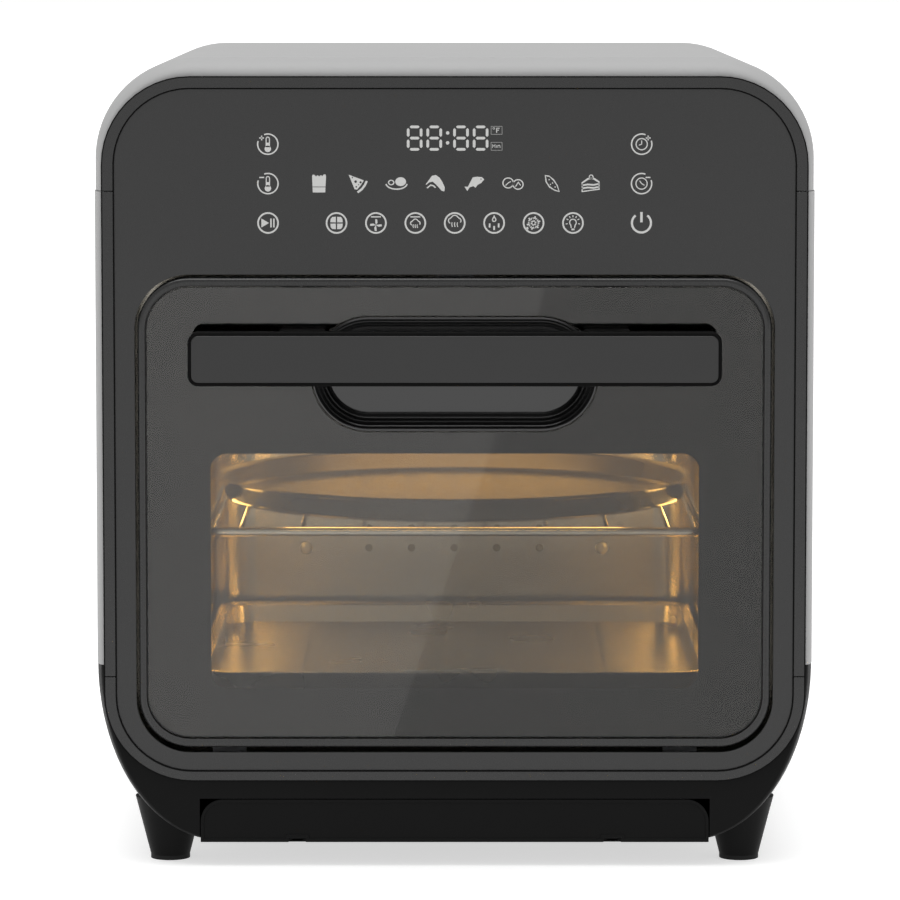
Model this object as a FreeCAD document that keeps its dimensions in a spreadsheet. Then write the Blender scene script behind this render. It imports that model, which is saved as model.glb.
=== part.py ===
import FreeCAD, Part
import os
import re
from math import cos, pi, radians, sin

import Sketcher

from FreeCAD import Placement, Rotation, Vector

# Countertop toaster oven, millimetres. X to the right, Y to the rear, Z up. The origin is on the floor,
# under the middle of the overall box. Every size below can be changed by itself.

# How far a cutting tool reaches past the faces that it cuts.
PAST = 10

DOC = FreeCAD.newDocument("ToasterOven")
SHEET = DOC.addObject("Spreadsheet::Sheet", "Sizes")

SIZES = {
    # casing
    "casing_width": 335.0, "casing_height": 379.5, "casing_depth": 336.0, "casing_wall": 1.6,
    "casing_corner": 47.0, "side_proud": 0.5, "roll_depth": 10.5, "roll_rise": 8.5, "roll_side": 3.5,
    "upper_seam": 317.7, "lower_seam": 95.5, "seam_gap": 0.3,
    # base hull, its curved corners and the space under it
    "floor_gap": 11.6, "hull_wall": 2.4, "hull_sweep": 56.0, "hull_tuck": 2.0,
    # feet
    "foot_across": 135.0, "foot_inset": 27.0, "foot_low_radius": 9.3, "foot_high_radius": 16.4,
    "foot_height": 29.8, "pad_height": 2.0,
    # front trim and fascia
    "trim_face": 5.4, "trim_bottom_face": 4.7, "trim_flange": 1.6, "trim_return": 10.0, "trim_wall": 1.5,
    "trim_foot": 41.0, "trim_joint_drop": 5.0, "fascia_set_back": 0.5, "fascia_thickness": 2.5,
    "fascia_gap": 0.3,
    # door
    "door_width": 295.4, "door_low": 56.9, "door_height": 220.8, "door_corner": 24.0, "door_gap": 1.4,
    "door_sill_gap": 2.4, "door_frame_depth": 10.0, "door_frame_face": 3.4, "door_depth": 31.0,
    "door_edge_round": 2.0, "bottom_rail_extra": 0.7, "top_rail_extra": 0.3, "glass_thickness": 4.0,
    "glass_set_back": 0.2, "glass_gap": 0.3, "inner_panel_inset": 9.8, "inner_panel_sill": 5.0,
    "inner_panel_wall": 1.2, "pane_lap": 6.0,
    # concealed hinges
    "hinge_drop": 1.9, "hinge_set_back": 1.9, "pin_radius": 0.9, "pin_length": 18.0, "running_fit": 0.05,
    "hinge_across": 107.0, "knuckle_radius": 1.5, "knuckle_width": 5.0, "knuckle_gap": 0.5,
    "knuckle_clearance": 0.2, "arm_thickness": 1.6, "arm_clearance": 0.3, "slot_rise": 4.0,
    "bracket_width": 16.0, "bracket_drop": 10.0, "bracket_thickness": 2.0,
    # catch, its keeper and the door switch
    "catch_width": 12.0, "catch_depth": 8.0, "catch_height": 7.0, "catch_drop": 2.0, "keeper_width": 18.0,
    "keeper_height": 6.0, "switch_across": 50.0, "switch_length": 20.0, "switch_depth": 8.0,
    "switch_height": 6.0, "switch_rise": 1.0,
    # window in the door
    "window_width": 228.0, "window_low": 84.6, "window_height": 110.6, "window_corner": 7.0,
    "window_margin": 4.0,
    # finger recess and handle
    "recess_width": 134.0, "recess_low": 205.6, "recess_height": 53.9, "recess_slope": 8.0,
    "recess_depth": 14.0, "recess_floor": 2.0, "recess_clearance": 1.5, "handle_reach": 26.3,
    "handle_width": 246.2, "handle_low": 229.2, "handle_height": 25.1, "handle_thickness": 8.5,
    "handle_corner": 5.0, "post_width": 21.5, "post_height": 24.4, "post_inner": 60.0,
    "screw_across": 74.0, "screw_radius": 2.0,
    # cooking cavity
    "cavity_width": 250.0, "cavity_floor": 62.0, "cavity_height": 203.0, "cavity_front": 36.0,
    "cavity_rear_gap": 36.0, "cavity_corner": 20.0, "sheet_wall": 1.0, "frame_plate": 1.6,
    "frame_side_lap": 6.0, "frame_sill": 12.0, "frame_head": 8.0, "frame_corner": 8.0, "mouth_corner": 4.0,
    "gasket_gap": 0.3, "gasket_width": 5.0, "gasket_inset": 3.0, "gasket_sill": 2.0, "floor_corner": 3.0,
    "vent_hole": 2.0, "vent_pitch": 22.5, "vent_low": 114.0, "vent_step": 10.5,
    "runner_proud": 8.0, "runner_thickness": 3.0, "runner_fit": 0.3, "runner_headroom": 1.5,
    "runner_front": 12.0, "runner_back": 26.0,
    # rack, pan and trays
    "rack_level": 154.0, "rack_side_gap": 2.0, "rack_start": 6.0, "rack_end": 14.0, "frame_wire": 2.2,
    "cross_wire": 1.4, "wire_pitch": 29.0, "wire_weld": 1.0,
    "pan_gap": 7.0, "pan_height": 12.0, "pan_wall": 1.0, "pan_taper": 2.0, "pan_rim": 1.5,
    "tray_level": 87.0, "tray_height": 11.0, "tray_wall": 0.8, "tray_corner": 14.0, "tray_lip": 5.0,
    "tray_start": 4.0, "tray_end": 10.0, "rib_height": 1.5, "rib_width": 8.0, "rib_pitch": 78.0,
    "rib_inset": 22.0,
    # heaters, fan and motor
    "heater_radius": 3.2, "heater_rise": 6.0, "heater_fit": 0.3, "heater_stub": 2.0, "cap_radius": 5.2,
    "cap_length": 12.0, "coil_radius": 78.0, "coil_gap": 3.0, "grille_gap": 25.0, "grille_lap": 5.0,
    "grille_slot": 5.0, "grille_hub": 18.0, "fan_radius": 72.0, "fan_blade": 14.0, "fan_disc": 0.8,
    "fan_hub": 8.0, "blade_wall": 1.0, "shaft_radius": 3.0, "shaft_end": 10.0, "motor_radius": 28.0,
    "motor_height": 32.0, "motor_gap": 7.0, "cooler_radius": 42.0, "cooler_blade": 8.0, "cooler_gap": 6.0,
    "shroud_height": 34.0, "shroud_lap": 8.0, "shroud_wall": 1.0, "shaft_clearance": 1.5,
    "bracket_strip": 32.0, "strip_wall": 1.5,
    # lamp and probe
    "lamp_back": 200.0, "lamp_level": 225.0, "lamp_radius": 14.0, "lens_wall": 3.0, "socket_length": 24.0,
    "socket_wall": 2.0, "bulb_radius": 5.5, "bulb_length": 8.0, "bulb_foot_radius": 3.5,
    "bulb_foot_length": 5.0, "bulb_gap": 5.0, "probe_back": 30.0, "probe_drop": 18.0, "probe_radius": 2.0,
    "probe_length": 34.0, "probe_outside": 12.0,
    # insulation
    "insulation_wall": 8.0, "insulation_low": 15.0, "insulation_top": 5.0, "insulation_front": 10.0,
    "service_gap": 4.0,
    # drip tray
    "drip_width": 238.8, "drip_front_top": 31.9, "drip_corner": 10.5, "drip_length": 270.0,
    "drip_wall": 1.2, "drip_gap": 0.4, "drip_lip": 9.0, "drip_drop": 3.5, "drip_body_corner": 4.0,
    "notch_inner": 70.0, "notch_width": 8.0, "notch_height": 2.0, "notch_depth": 1.2, "rail_width": 4.0,
    "rail_start": 14.0, "rail_drop": 2.0,
    # electronics
    "board_width": 200.0, "board_wall": 1.6, "board_margin": 14.0, "display_width": 64.0,
    "display_depth": 5.0, "display_height": 22.0, "display_drop": 12.0, "power_gap": 14.0,
    "power_length": 100.0, "power_back": 30.0, "power_low": 40.0, "power_top": 20.0, "relay_depth": 7.0,
    "relay_size": 30.0, "relay_back": 50.0, "relay_low": 20.0, "capacitor_radius": 10.0,
    "capacitor_back": 30.0, "capacitor_low": 35.0,
    # rear
    "rear_wall": 2.0, "rear_inset": 0.2, "louvre_pitch": 26.0, "louvre_width": 18.0, "louvre_height": 3.5,
    "louvre_step": 9.0, "louvre_top": 60.0, "spacer_depth": 4.0, "spacer_radius": 9.0, "spacer_inset": 45.0,
    "spacer_low": 60.0, "spacer_top": 110.0, "gland_bore": 3.8, "gland_radius": 9.0, "gland_inset": 60.0,
    "gland_rise": 25.0, "gland_depth": 8.0, "gland_flange": 1.5, "gland_lap": 2.0,
    "rear_screw_radius": 3.2, "rear_screw_head": 1.6, "rear_screw_inset": 14.0, "rear_screw_low": 8.0,
    "rear_screw_top": 70.0,
}

DERIVED = {
    "half_width": "casing_width / 2",
    "front": "handle_reach - (handle_reach + casing_depth + spacer_depth) / 2",
    "rear": "front + casing_depth",
    "shell_front": "front + trim_flange + seam_gap",
    "shell_rear": "rear - rear_wall - seam_gap",
    "trim_half": "half_width - roll_side",
    "trim_top": "casing_height - roll_rise",
    "trim_corner": "casing_corner - (roll_rise + roll_side) / 2",
    "trim_inner_low": "trim_foot + trim_bottom_face",
    "trim_joint": "lower_seam - trim_joint_drop",
    "fascia_half": "trim_half - trim_face - fascia_gap",
    "fascia_low": "trim_inner_low + fascia_gap",
    "fascia_top": "trim_top - trim_face - fascia_gap",
    "fascia_corner": "trim_corner - trim_face - fascia_gap",
    "fascia_front": "front + fascia_set_back",
    "fascia_back": "fascia_front + fascia_thickness",
    "door_half": "door_width / 2",
    "door_top": "door_low + door_height",
    "glass_half": "door_half - door_frame_face - glass_gap",
    "glass_low": "door_low + door_frame_face + bottom_rail_extra + glass_gap",
    "glass_top": "door_top - door_frame_face - top_rail_extra - glass_gap",
    "glass_corner": "door_corner - door_frame_face - glass_gap",
    "glass_front": "front + glass_set_back",
    "glass_back": "glass_front + glass_thickness",
    "frame_back": "front + door_frame_depth",
    "door_back": "front + door_depth",
    "hinge_y": "front + hinge_set_back",
    "hinge_z": "door_low + hinge_drop",
    "window_half": "window_width / 2",
    "window_top": "window_low + window_height",
    "panel_half": "door_half - inner_panel_inset",
    "panel_low": "door_low + inner_panel_sill",
    "panel_top": "door_top - inner_panel_inset",
    "panel_corner": "door_corner - inner_panel_inset",
    "recess_half": "recess_width / 2",
    "recess_top": "recess_low + recess_height",
    "recess_corner": "recess_height / 2 - 0.2",
    "handle_half": "handle_width / 2",
    "handle_top": "handle_low + handle_height",
    "handle_front": "front - handle_reach",
    "handle_back": "handle_front + handle_thickness",
    "handle_middle": "handle_low + handle_height / 2",
    "cavity_half": "cavity_width / 2",
    "cavity_depth": "casing_depth - cavity_front - cavity_rear_gap",
    "round_room": "min(cavity_width; cavity_depth) / 2",
    "pan_radius": "round_room - pan_gap",
    "grille_radius": "round_room - grille_gap",
    "shroud_radius": "grille_radius + shroud_lap",
    "cavity_top": "cavity_floor + cavity_height",
    "cavity_mouth": "front + cavity_front",
    "cavity_rear": "cavity_mouth + cavity_depth",
    "cavity_middle": "cavity_mouth + cavity_depth / 2",
    "plate_front": "cavity_mouth - frame_plate",
    "rack_half": "cavity_half - rack_side_gap - runner_proud / 2",
    "rack_front": "cavity_mouth + rack_start",
    "rack_back": "cavity_rear - rack_end",
    "tray_half": "cavity_half - rack_side_gap",
    "tray_front": "cavity_mouth + tray_start",
    "tray_back": "cavity_rear - tray_end",
    "tray_floor": "tray_level - tray_height",
    "pan_floor": "rack_level + frame_wire + runner_fit",
    "heater_level": "cavity_floor + heater_rise",
    "grille_level": "cavity_top - sheet_wall",
    "coil_level": "cavity_top + sheet_wall + heater_radius + coil_gap",
    "fan_level": "coil_level + heater_radius + coil_gap",
    "shroud_top": "cavity_top + sheet_wall + shroud_height",
    "motor_level": "shroud_top + motor_gap",
    "cooler_level": "motor_level + motor_height + cooler_gap",
    "lamp_y": "front + lamp_back",
    "probe_y": "cavity_mouth + probe_back",
    "probe_level": "cavity_top - probe_drop",
    "drip_half": "drip_width / 2",
    "drip_body_half": "drip_half - drip_lip",
    "drip_floor": "floor_gap + hull_wall + hull_tuck + drip_gap",
    "drip_top": "drip_front_top - drip_drop",
    "drip_back": "front + drip_length",
    "hull_half_flat": "half_width - hull_sweep",
    "gland_x": "-half_width + gland_inset",
    "gland_z": "lower_seam + gland_rise",
}

WORD = re.compile(r"[A-Za-z_][A-Za-z_0-9]*")
SIDES = {"left": -1, "right": 1}
PARTS = []


def fill_sheet():
    for row, (alias, number) in enumerate(SIZES.items(), start=1):
        SHEET.set(f"A{row}", alias)
        SHEET.set(f"B{row}", str(number))
        SHEET.setAlias(f"B{row}", alias)
    DOC.recompute()


def expand(text):
    """Turn the short names of a size formula into cells of the sheet."""
    def swap(match):
        word = match.group(0)
        if word in DERIVED:
            return "(" + expand(DERIVED[word]) + ")"
        return "Sizes." + word if word in SIZES else word
    return WORD.sub(swap, str(text))


def value(text):
    """The number that a size formula gives now."""
    number = SHEET.evalExpression(expand(text))
    return float(getattr(number, "Value", number))


def bind(piece, path, text):
    piece.setExpression(path, expand(text))


def name_part(label, piece):
    """Keep the piece as a sub-part with a label of its own."""
    piece.Label = label
    PARTS.append(piece)
    return piece


# Part primitives and booleans, bound to the sheet

def box(x, y, z):
    block = DOC.addObject("Part::Box", "Block")
    for size, axis, (low, high) in zip(("Length", "Width", "Height"), "xyz", (x, y, z)):
        bind(block, size, f"({high}) - ({low})")
        bind(block, f"Placement.Base.{axis}", low)
    return block


TURNS = {
    "x": Rotation(Vector(0, 1, 0), 90),
    "y": Rotation(Vector(1, 0, 0), -90),
    "z": Rotation(),
}


def place(piece, axis, base):
    piece.Placement = Placement(Vector(), TURNS[axis])
    for name, text in zip("xyz", base):
        bind(piece, f"Placement.Base.{name}", text)
    return piece


def cylinder(axis, base, radius, length):
    """A cylinder from its base point along one axis."""
    rod = DOC.addObject("Part::Cylinder", "Rod")
    bind(rod, "Radius", radius)
    bind(rod, "Height", length)
    return place(rod, axis, base)


def cone(base, low_radius, high_radius, height):
    taper = DOC.addObject("Part::Cone", "Taper")
    bind(taper, "Radius1", low_radius)
    bind(taper, "Radius2", high_radius)
    bind(taper, "Height", height)
    return place(taper, "z", base)


def ring(base, radius, wire):
    torus = DOC.addObject("Part::Torus", "Ring")
    bind(torus, "Radius1", radius)
    bind(torus, "Radius2", wire)
    return place(torus, "z", base)


def sphere(base, radius):
    ball = DOC.addObject("Part::Sphere", "Ball")
    bind(ball, "Radius", radius)
    return place(ball, "z", base)


def fuse(*pieces):
    joined = DOC.addObject("Part::MultiFuse", "Joined")
    joined.Shapes = list(pieces)
    return joined


def group(*pieces):
    """Separate solids that share one name."""
    bundle = DOC.addObject("Part::Compound", "Group")
    bundle.Links = list(pieces)
    return bundle


def cut(base, *tools):
    trimmed = DOC.addObject("Part::Cut", "Trimmed")
    trimmed.Base = base
    trimmed.Tool = tools[0] if len(tools) == 1 else fuse(*tools)
    return trimmed


def common(first, second):
    shared = DOC.addObject("Part::Common", "Shared")
    shared.Base = first
    shared.Tool = second
    return shared


def plain(shape):
    """A solid shaped by Part's own functions, for lofts that no feature makes."""
    piece = DOC.addObject("Part::Feature", "Shaped")
    piece.Shape = shape
    piece.Placement = Placement()
    return piece


def mirrored(low, high, side):
    """An interval of X on the named side."""
    return (f"-({high})", f"-({low})") if side < 0 else (low, high)


# Sketched bodies

PLANES = {"XY": "z", "XZ": "y", "YZ": "x"}


def attached_sketch(body, plane):
    sketch = body.newObject("Sketcher::SketchObject", "Outline")
    for feature in body.Origin.OriginFeatures:
        if feature.Role == f"{plane}_Plane":
            sketch.AttachmentSupport = [(feature, "")]
    sketch.MapMode = "FlatFace"
    return sketch


def draw_rectangle(sketch, left, right, low, high, radius):
    """A round-cornered rectangle whose five sizes are bound to the sheet."""
    x0, x1, y0, y1, r = (value(text) for text in (left, right, low, high, radius))
    first = sketch.GeometryCount
    corners = [(x0 + r, y0 + r, pi), (x1 - r, y0 + r, 1.5 * pi),
               (x1 - r, y1 - r, 0), (x0 + r, y1 - r, pi / 2)]
    runs = [(x0 + r, y0, x1 - r, y0), (x1, y0 + r, x1, y1 - r),
            (x1 - r, y1, x0 + r, y1), (x0, y1 - r, x0, y0 + r)]
    for ax, ay, bx, by in runs:
        sketch.addGeometry(Part.LineSegment(Vector(ax, ay, 0), Vector(bx, by, 0)))
    for cx, cy, start in corners:
        circle = Part.Circle(Vector(cx, cy, 0), Vector(0, 0, 1), r)
        sketch.addGeometry(Part.ArcOfCircle(circle, start, start + pi / 2))
    for index in range(4):
        line, arc, before = first + index, first + 4 + index, first + (index + 3) % 4
        sketch.addConstraint(Sketcher.Constraint("Tangent", before, 2, arc, 1))
        sketch.addConstraint(Sketcher.Constraint("Tangent", arc, 2, line, 1))
        sketch.addConstraint(Sketcher.Constraint("Horizontal" if index % 2 == 0 else "Vertical", line))
        if index:
            sketch.addConstraint(Sketcher.Constraint("Equal", first + 4, arc))
    sizes = [("DistanceY", first, y0, low), ("DistanceX", first + 1, x1, right),
             ("DistanceY", first + 2, y1, high), ("DistanceX", first + 3, x0, left)]
    for kind, line, number, text in sizes:
        place_at = sketch.addConstraint(Sketcher.Constraint(kind, -1, 1, line, 1, number))
        sketch.setExpression(f"Constraints[{place_at}]", expand(text))
    round_at = sketch.addConstraint(Sketcher.Constraint("Radius", first + 4, r))
    sketch.setExpression(f"Constraints[{round_at}]", expand(radius))


def plate(plane, start, thickness, outline, *holes):
    """A sketched plate: plane XZ grows towards the rear, XY upwards, YZ to the right."""
    body = DOC.addObject("PartDesign::Body", "Plate")
    sketch = attached_sketch(body, plane)
    for loop in (outline,) + holes:
        draw_rectangle(sketch, *loop)
    pad = body.newObject("PartDesign::Pad", "Thickness")
    pad.Profile = sketch
    pad.Reversed = plane == "XZ"
    bind(pad, "Length", thickness)
    bind(body, f"Placement.Base.{PLANES[plane]}", start)
    return body


def round_edges(body, radius, chosen):
    """Round the edges of a sketched body that the test picks."""
    DOC.recompute()
    tip = body.Tip
    names = [f"Edge{index}" for index, edge in enumerate(tip.Shape.Edges, start=1) if chosen(edge)]
    soft = body.newObject("PartDesign::Fillet", "Rounded")
    soft.Base = (tip, names)
    bind(soft, "Radius", radius)
    return body


# Casing shells: an arch over the top, an elliptical tuck at the base, and a rolled front edge

ROLL_STEPS = 5
ROLL_SWEEP = 72


def roll_stages():
    """How far back, and how far out, each stage of the rolled front edge lies, both from 0 to 1."""
    for step in range(ROLL_STEPS):
        angle = radians(ROLL_SWEEP * step / (ROLL_STEPS - 1))
        yield (1 - cos(angle)) / (1 - cos(radians(ROLL_SWEEP))), sin(angle) / sin(radians(ROLL_SWEEP))


def segment(x0, z0, x1, z1):
    return Part.LineSegment(Vector(x0, 0, z0), Vector(x1, 0, z1)).toShape()


def arch_wire(half, top, corner, low, y):
    """The outline of the upper casing at one depth."""
    diagonal = corner * (1 - sin(pi / 4))
    left = Part.Arc(Vector(-half, 0, top - corner), Vector(-half + diagonal, 0, top - diagonal),
                    Vector(-half + corner, 0, top)).toShape()
    right = Part.Arc(Vector(half - corner, 0, top), Vector(half - diagonal, 0, top - diagonal),
                     Vector(half, 0, top - corner)).toShape()
    wire = Part.Wire([segment(-half, low, -half, top - corner), left,
                      segment(-half + corner, top, half - corner, top), right,
                      segment(half, top - corner, half, low), segment(half, low, -half, low)])
    wire.translate(Vector(0, y, 0))
    return wire


def hull_wire(half, flat, low, top, y):
    """The outline of the base hull at one depth: two elliptical corners and a flat bottom."""
    edges = []
    for side in (-1, 1):
        centre = Vector(side * flat, 0, top)
        if half - flat > top - low:
            major, minor = Vector(side * half, 0, top), Vector(side * flat, 0, low)
        else:
            major, minor = Vector(side * flat, 0, low), Vector(side * half, 0, top)
        ellipse = Part.Ellipse(major, minor, centre)
        first, second = (ellipse.parameter(point) for point in (major, minor))
        arc = Part.ArcOfEllipse(ellipse, first, second).toShape()
        if arc.Length > (half - flat) + (top - low):
            arc = Part.ArcOfEllipse(ellipse, second, first).toShape()
        edges.append(arc)
    edges.append(segment(-flat, low, flat, low))
    edges.append(segment(-half, top, half, top))
    wire = Part.Wire(Part.__sortEdges__(edges))
    wire.translate(Vector(0, y, 0))
    return wire


def rolled_solid(outline, inset, back_at="shell_rear"):
    """Loft the rolled front edge and carry the last outline to the rear of the shell."""
    start, back = value("shell_front"), value(back_at)
    depth = value("roll_depth")
    stages = [outline(out, start + depth * behind, inset) for behind, out in roll_stages()]
    roll = Part.makeLoft(stages, True, False)
    run = Part.Face(stages[-1]).extrude(Vector(0, back - start - depth, 0))
    return roll, run


def arch_outline(proud):
    def outline(out, y, inset):
        half = value("trim_half") + out * value("roll_side") + proud - inset
        top = value("trim_top") + out * value("roll_rise") + proud - inset
        corner = value("trim_corner") + out * (value("casing_corner") - value("trim_corner")) - inset
        return arch_wire(half, top, corner, value("lower_seam"), y)
    return outline


def hull_outline(out, y, inset):
    half = value("trim_half") + out * value("roll_side") - inset
    low = value("floor_gap") + (1 - out) * value("hull_tuck") + inset
    return hull_wire(half, value("hull_half_flat"), low, value("lower_seam"), y)


def hollow(outline, wall, keep):
    """The shell of a rolled casing, within a slab kept between two heights."""
    roll, run = rolled_solid(outline, 0)
    roll_in, run_in = rolled_solid(outline, wall)
    shells = [outer.cut(inner).common(keep) for outer, inner in ((roll, roll_in), (run, run_in))]
    return shells[0].fuse(shells[1]).removeSplitter()


def slab(low, high):
    """Everything between two heights."""
    reach = 2 * value("casing_height") + 2 * value("casing_width") + 2 * value("casing_depth")
    return Part.makeBox(2 * reach, 2 * reach, high - low, Vector(-reach, -reach, low))


def make_casing():
    wall, gap = value("casing_wall"), value("seam_gap")
    upper, lower, top = value("upper_seam"), value("lower_seam"), value("casing_height")
    name_part("top_cover", plain(hollow(arch_outline(0), wall, slab(upper + gap, 2 * top))))
    sides = hollow(arch_outline(value("side_proud")), wall + value("side_proud"), slab(lower + gap, upper))
    for shell, side in zip(sorted(sides.Solids, key=lambda solid: solid.CenterOfMass.x), SIDES):
        name_part(f"side_panel_{side}", plain(shell))


def make_hull():
    """A tub with front and rear walls, open at the top, behind the fascia and at the drip tray."""
    roll, run = rolled_solid(hull_outline, 0, "rear")
    roll_in, run_in = rolled_solid(hull_outline, value("hull_wall"), "rear")
    front_wall = value("shell_front + hull_wall")
    reach = value("casing_width")
    hollow_space = Part.makeBox(2 * reach, value("rear - hull_wall") - front_wall, reach,
                                Vector(-reach, front_wall, 0))
    shell = plain(roll.fuse(run).removeSplitter().cut(roll_in.fuse(run_in).common(hollow_space)))
    wall = (f"shell_front - {PAST}", f"shell_front + hull_wall + {PAST} / 10")
    way_in = plate("XZ", wall[0], f"hull_wall + {PAST} * 1.1", trim_outline("trim_wall + seam_gap"))
    mouth = box(("-drip_half - drip_gap", "drip_half + drip_gap"), wall,
                (f"floor_gap - {PAST}", "drip_front_top + drip_gap"))
    name_part("base_hull", cut(shell, way_in, mouth))


def trim_outline(grow):
    """The inner outline of the trim ring, grown outwards."""
    return (f"-trim_half + trim_face - ({grow})", f"trim_half - trim_face + {grow}",
            f"trim_inner_low - ({grow})", f"trim_top - trim_face + {grow}", f"trim_corner - trim_face + {grow}")


def make_trim():
    """One ring cut into a top arch, two sides and a bottom bow, each a flange with a return behind it."""
    outer = ("-trim_half", "trim_half", "trim_foot", "trim_top", "trim_corner")
    inner, lip = trim_outline("0"), trim_outline("trim_wall")
    across = ("-casing_width", "casing_width")
    depth = (f"front - {PAST}", f"front + trim_flange + trim_return + {PAST}")
    middle = ("trim_joint", "upper_seam")
    spans = {
        "trim_top": (across, depth, ("upper_seam + seam_gap", f"casing_height + {PAST}")),
        "trim_bottom": (across, depth, (f"-{PAST}", "trim_joint - seam_gap")),
        "trim_left": (("-casing_width", "0"), depth, middle),
        "trim_right": (("0", "casing_width"), depth, middle),
    }
    for label, span in spans.items():
        flange = plate("XZ", "front", "trim_flange", outer, inner)
        behind = plate("XZ", "front + trim_flange", "trim_return", lip, inner)
        name_part(label, common(fuse(flange, behind), box(*span)))


def make_fascia():
    opening = ("-door_half - door_gap", "door_half + door_gap", "door_low - door_sill_gap",
               "door_top + door_gap", "door_corner + door_gap")
    outline = ("-fascia_half", "fascia_half", "fascia_low", "fascia_top", "fascia_corner")
    name_part("front_fascia", plate("XZ", "fascia_front", "fascia_thickness", outline, opening))


# Door

def make_door():
    rim = ("-door_half", "door_half", "door_low", "door_top", "door_corner")
    glass_seat = ("-glass_half - glass_gap", "glass_half + glass_gap", "glass_low - glass_gap",
                  "glass_top + glass_gap", "glass_corner + glass_gap")
    view = ("-window_half - window_margin", "window_half + window_margin", "window_low - window_margin",
            "window_top + window_margin", "window_corner + window_margin")
    pocket = ("-recess_half - recess_clearance", "recess_half + recess_clearance",
              "recess_low - recess_clearance", "recess_top + recess_clearance",
              "recess_corner + recess_clearance")
    frame = plate("XZ", "front", "glass_set_back + glass_thickness", rim, glass_seat)
    round_edges(frame, "door_edge_round", lambda edge: front_edge(edge) and outer_edge(edge))
    backing = plate("XZ", "glass_back", "frame_back - glass_back", rim, view, pocket)
    bores = [hinge_pin(side) for side in SIDES.values()]
    slots = [hinge_slot(side) for side in SIDES.values()]
    name_part("door_frame", cut(cut(fuse(frame, backing), *slots), *bores, *screw_holes("door_depth")))

    glass = plate("XZ", "glass_front", "glass_thickness",
                  ("-glass_half", "glass_half", "glass_low", "glass_top", "glass_corner"),
                  ("-recess_half", "recess_half", "recess_low", "recess_top", "recess_corner"))
    name_part("door_glass_outer", cut(glass, *screw_holes("door_depth")))
    make_recess()
    make_handle()
    make_inner_door(view)


def front_edge(edge):
    """True of an edge that lies in the front face of a body sketched on the XZ plane."""
    return abs(edge.BoundBox.YMin) < 1e-4 and abs(edge.BoundBox.YMax) < 1e-4


def outer_edge(edge):
    """True of an edge on the outer rim of the door, away from its glass seat."""
    box_of = edge.BoundBox
    half, low, top = value("door_half"), value("door_low"), value("door_top")
    near = value("door_frame_face") / 2
    return (max(abs(box_of.XMin), abs(box_of.XMax)) > half - near or box_of.ZMin < low + near
            or box_of.ZMax > top - near)


def on_both_sides(text):
    """A place across the oven and its mirror image."""
    return [f"{side} * ({text})" for side in SIDES.values()]


def screw_holes(length):
    return [cylinder("y", (x, "front", "handle_middle"), "screw_radius", length)
            for x in on_both_sides("screw_across")]


def oblong_wire(half, low, top, y):
    """A slot outline with full round ends."""
    radius = (top - low) / 2
    middle = (top + low) / 2
    flat = half - radius
    left = Part.Arc(Vector(-flat, y, low), Vector(-half, y, middle), Vector(-flat, y, top)).toShape()
    right = Part.Arc(Vector(flat, y, top), Vector(half, y, middle), Vector(flat, y, low)).toShape()
    upper = Part.LineSegment(Vector(-flat, y, top), Vector(flat, y, top)).toShape()
    lower = Part.LineSegment(Vector(flat, y, low), Vector(-flat, y, low)).toShape()
    return Part.Wire([left, upper, right, lower])


def make_recess():
    """A finger pocket whose wall slopes in towards its floor."""
    gap, wall = value("glass_gap"), value("recess_floor")
    half, low, top = value("recess_half") - gap, value("recess_low") + gap, value("recess_top") - gap
    slope = value("recess_slope")
    start, floor = value("glass_front"), value("glass_front") + value("recess_depth")
    mouth = [oblong_wire(half - wall / 2, low + wall / 2, top - wall / 2, start - 0.01),
             oblong_wire(half - slope, low + slope, top - slope, floor)]
    body = [oblong_wire(half, low, top, start),
            oblong_wire(half - slope + wall, low + slope - wall, top - slope + wall, floor + wall)]
    cup = Part.makeLoft(body, True, True).cut(Part.makeLoft(mouth, True, True))
    name_part("finger_recess", plain(cup))


def make_handle():
    bar = plate("XZ", "handle_front", "handle_thickness",
                ("-handle_half", "handle_half", "handle_low", "handle_top", "handle_corner"))
    round_edges(bar, "handle_thickness / 5", front_edge)
    name_part("handle_bar", bar)
    posts = [box(mirrored("post_inner", "post_inner + post_width", side), ("handle_back", "glass_front"),
                 ("handle_middle - post_height / 2", "handle_middle + post_height / 2"))
             for side in SIDES.values()]
    name_part("handle_posts", group(*posts))
    screws = []
    for x in on_both_sides("screw_across"):
        thread = cylinder("y", (x, "glass_front", "handle_middle"), "screw_radius - running_fit",
                          "frame_back - glass_front")
        head = cylinder("y", (x, "frame_back", "handle_middle"), "screw_radius * 2", "screw_radius")
        screws.append(fuse(thread, head))
    name_part("handle_screws", group(*screws))


def make_inner_door(view):
    wall = "inner_panel_wall"
    outline = ("-panel_half", "panel_half", "panel_low", "panel_top", "panel_corner")
    inside = (f"-panel_half + {wall}", f"panel_half - {wall}", f"panel_low + {wall}", f"panel_top - {wall}",
              f"panel_corner - {wall}")
    pan = fuse(plate("XZ", "frame_back", f"door_back - frame_back - {wall}", outline, inside),
               plate("XZ", f"door_back - {wall}", wall, outline, view))
    name_part("door_inner_panel", pan)
    lap = "(window_margin + pane_lap)"
    pane = plate("XZ", f"door_back - {wall} - glass_thickness", "glass_thickness",
                 (f"-window_half - {lap}", f"window_half + {lap}", f"window_low - {lap}",
                  f"window_top + {lap}", "window_corner"))
    name_part("door_glass_inner", pane)
    catch_top = "door_top - catch_drop"
    catch = box(("-catch_width / 2", "catch_width / 2"), ("frame_back", "frame_back + catch_depth"),
                (f"{catch_top} - catch_height", catch_top))
    name_part("door_catch", catch)
    name_part("hinge_pins", group(*[hinge_pin(side) for side in SIDES.values()]))


# Concealed hinges: an arm from the oven reaches into a slot in the door's bottom rail

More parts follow.
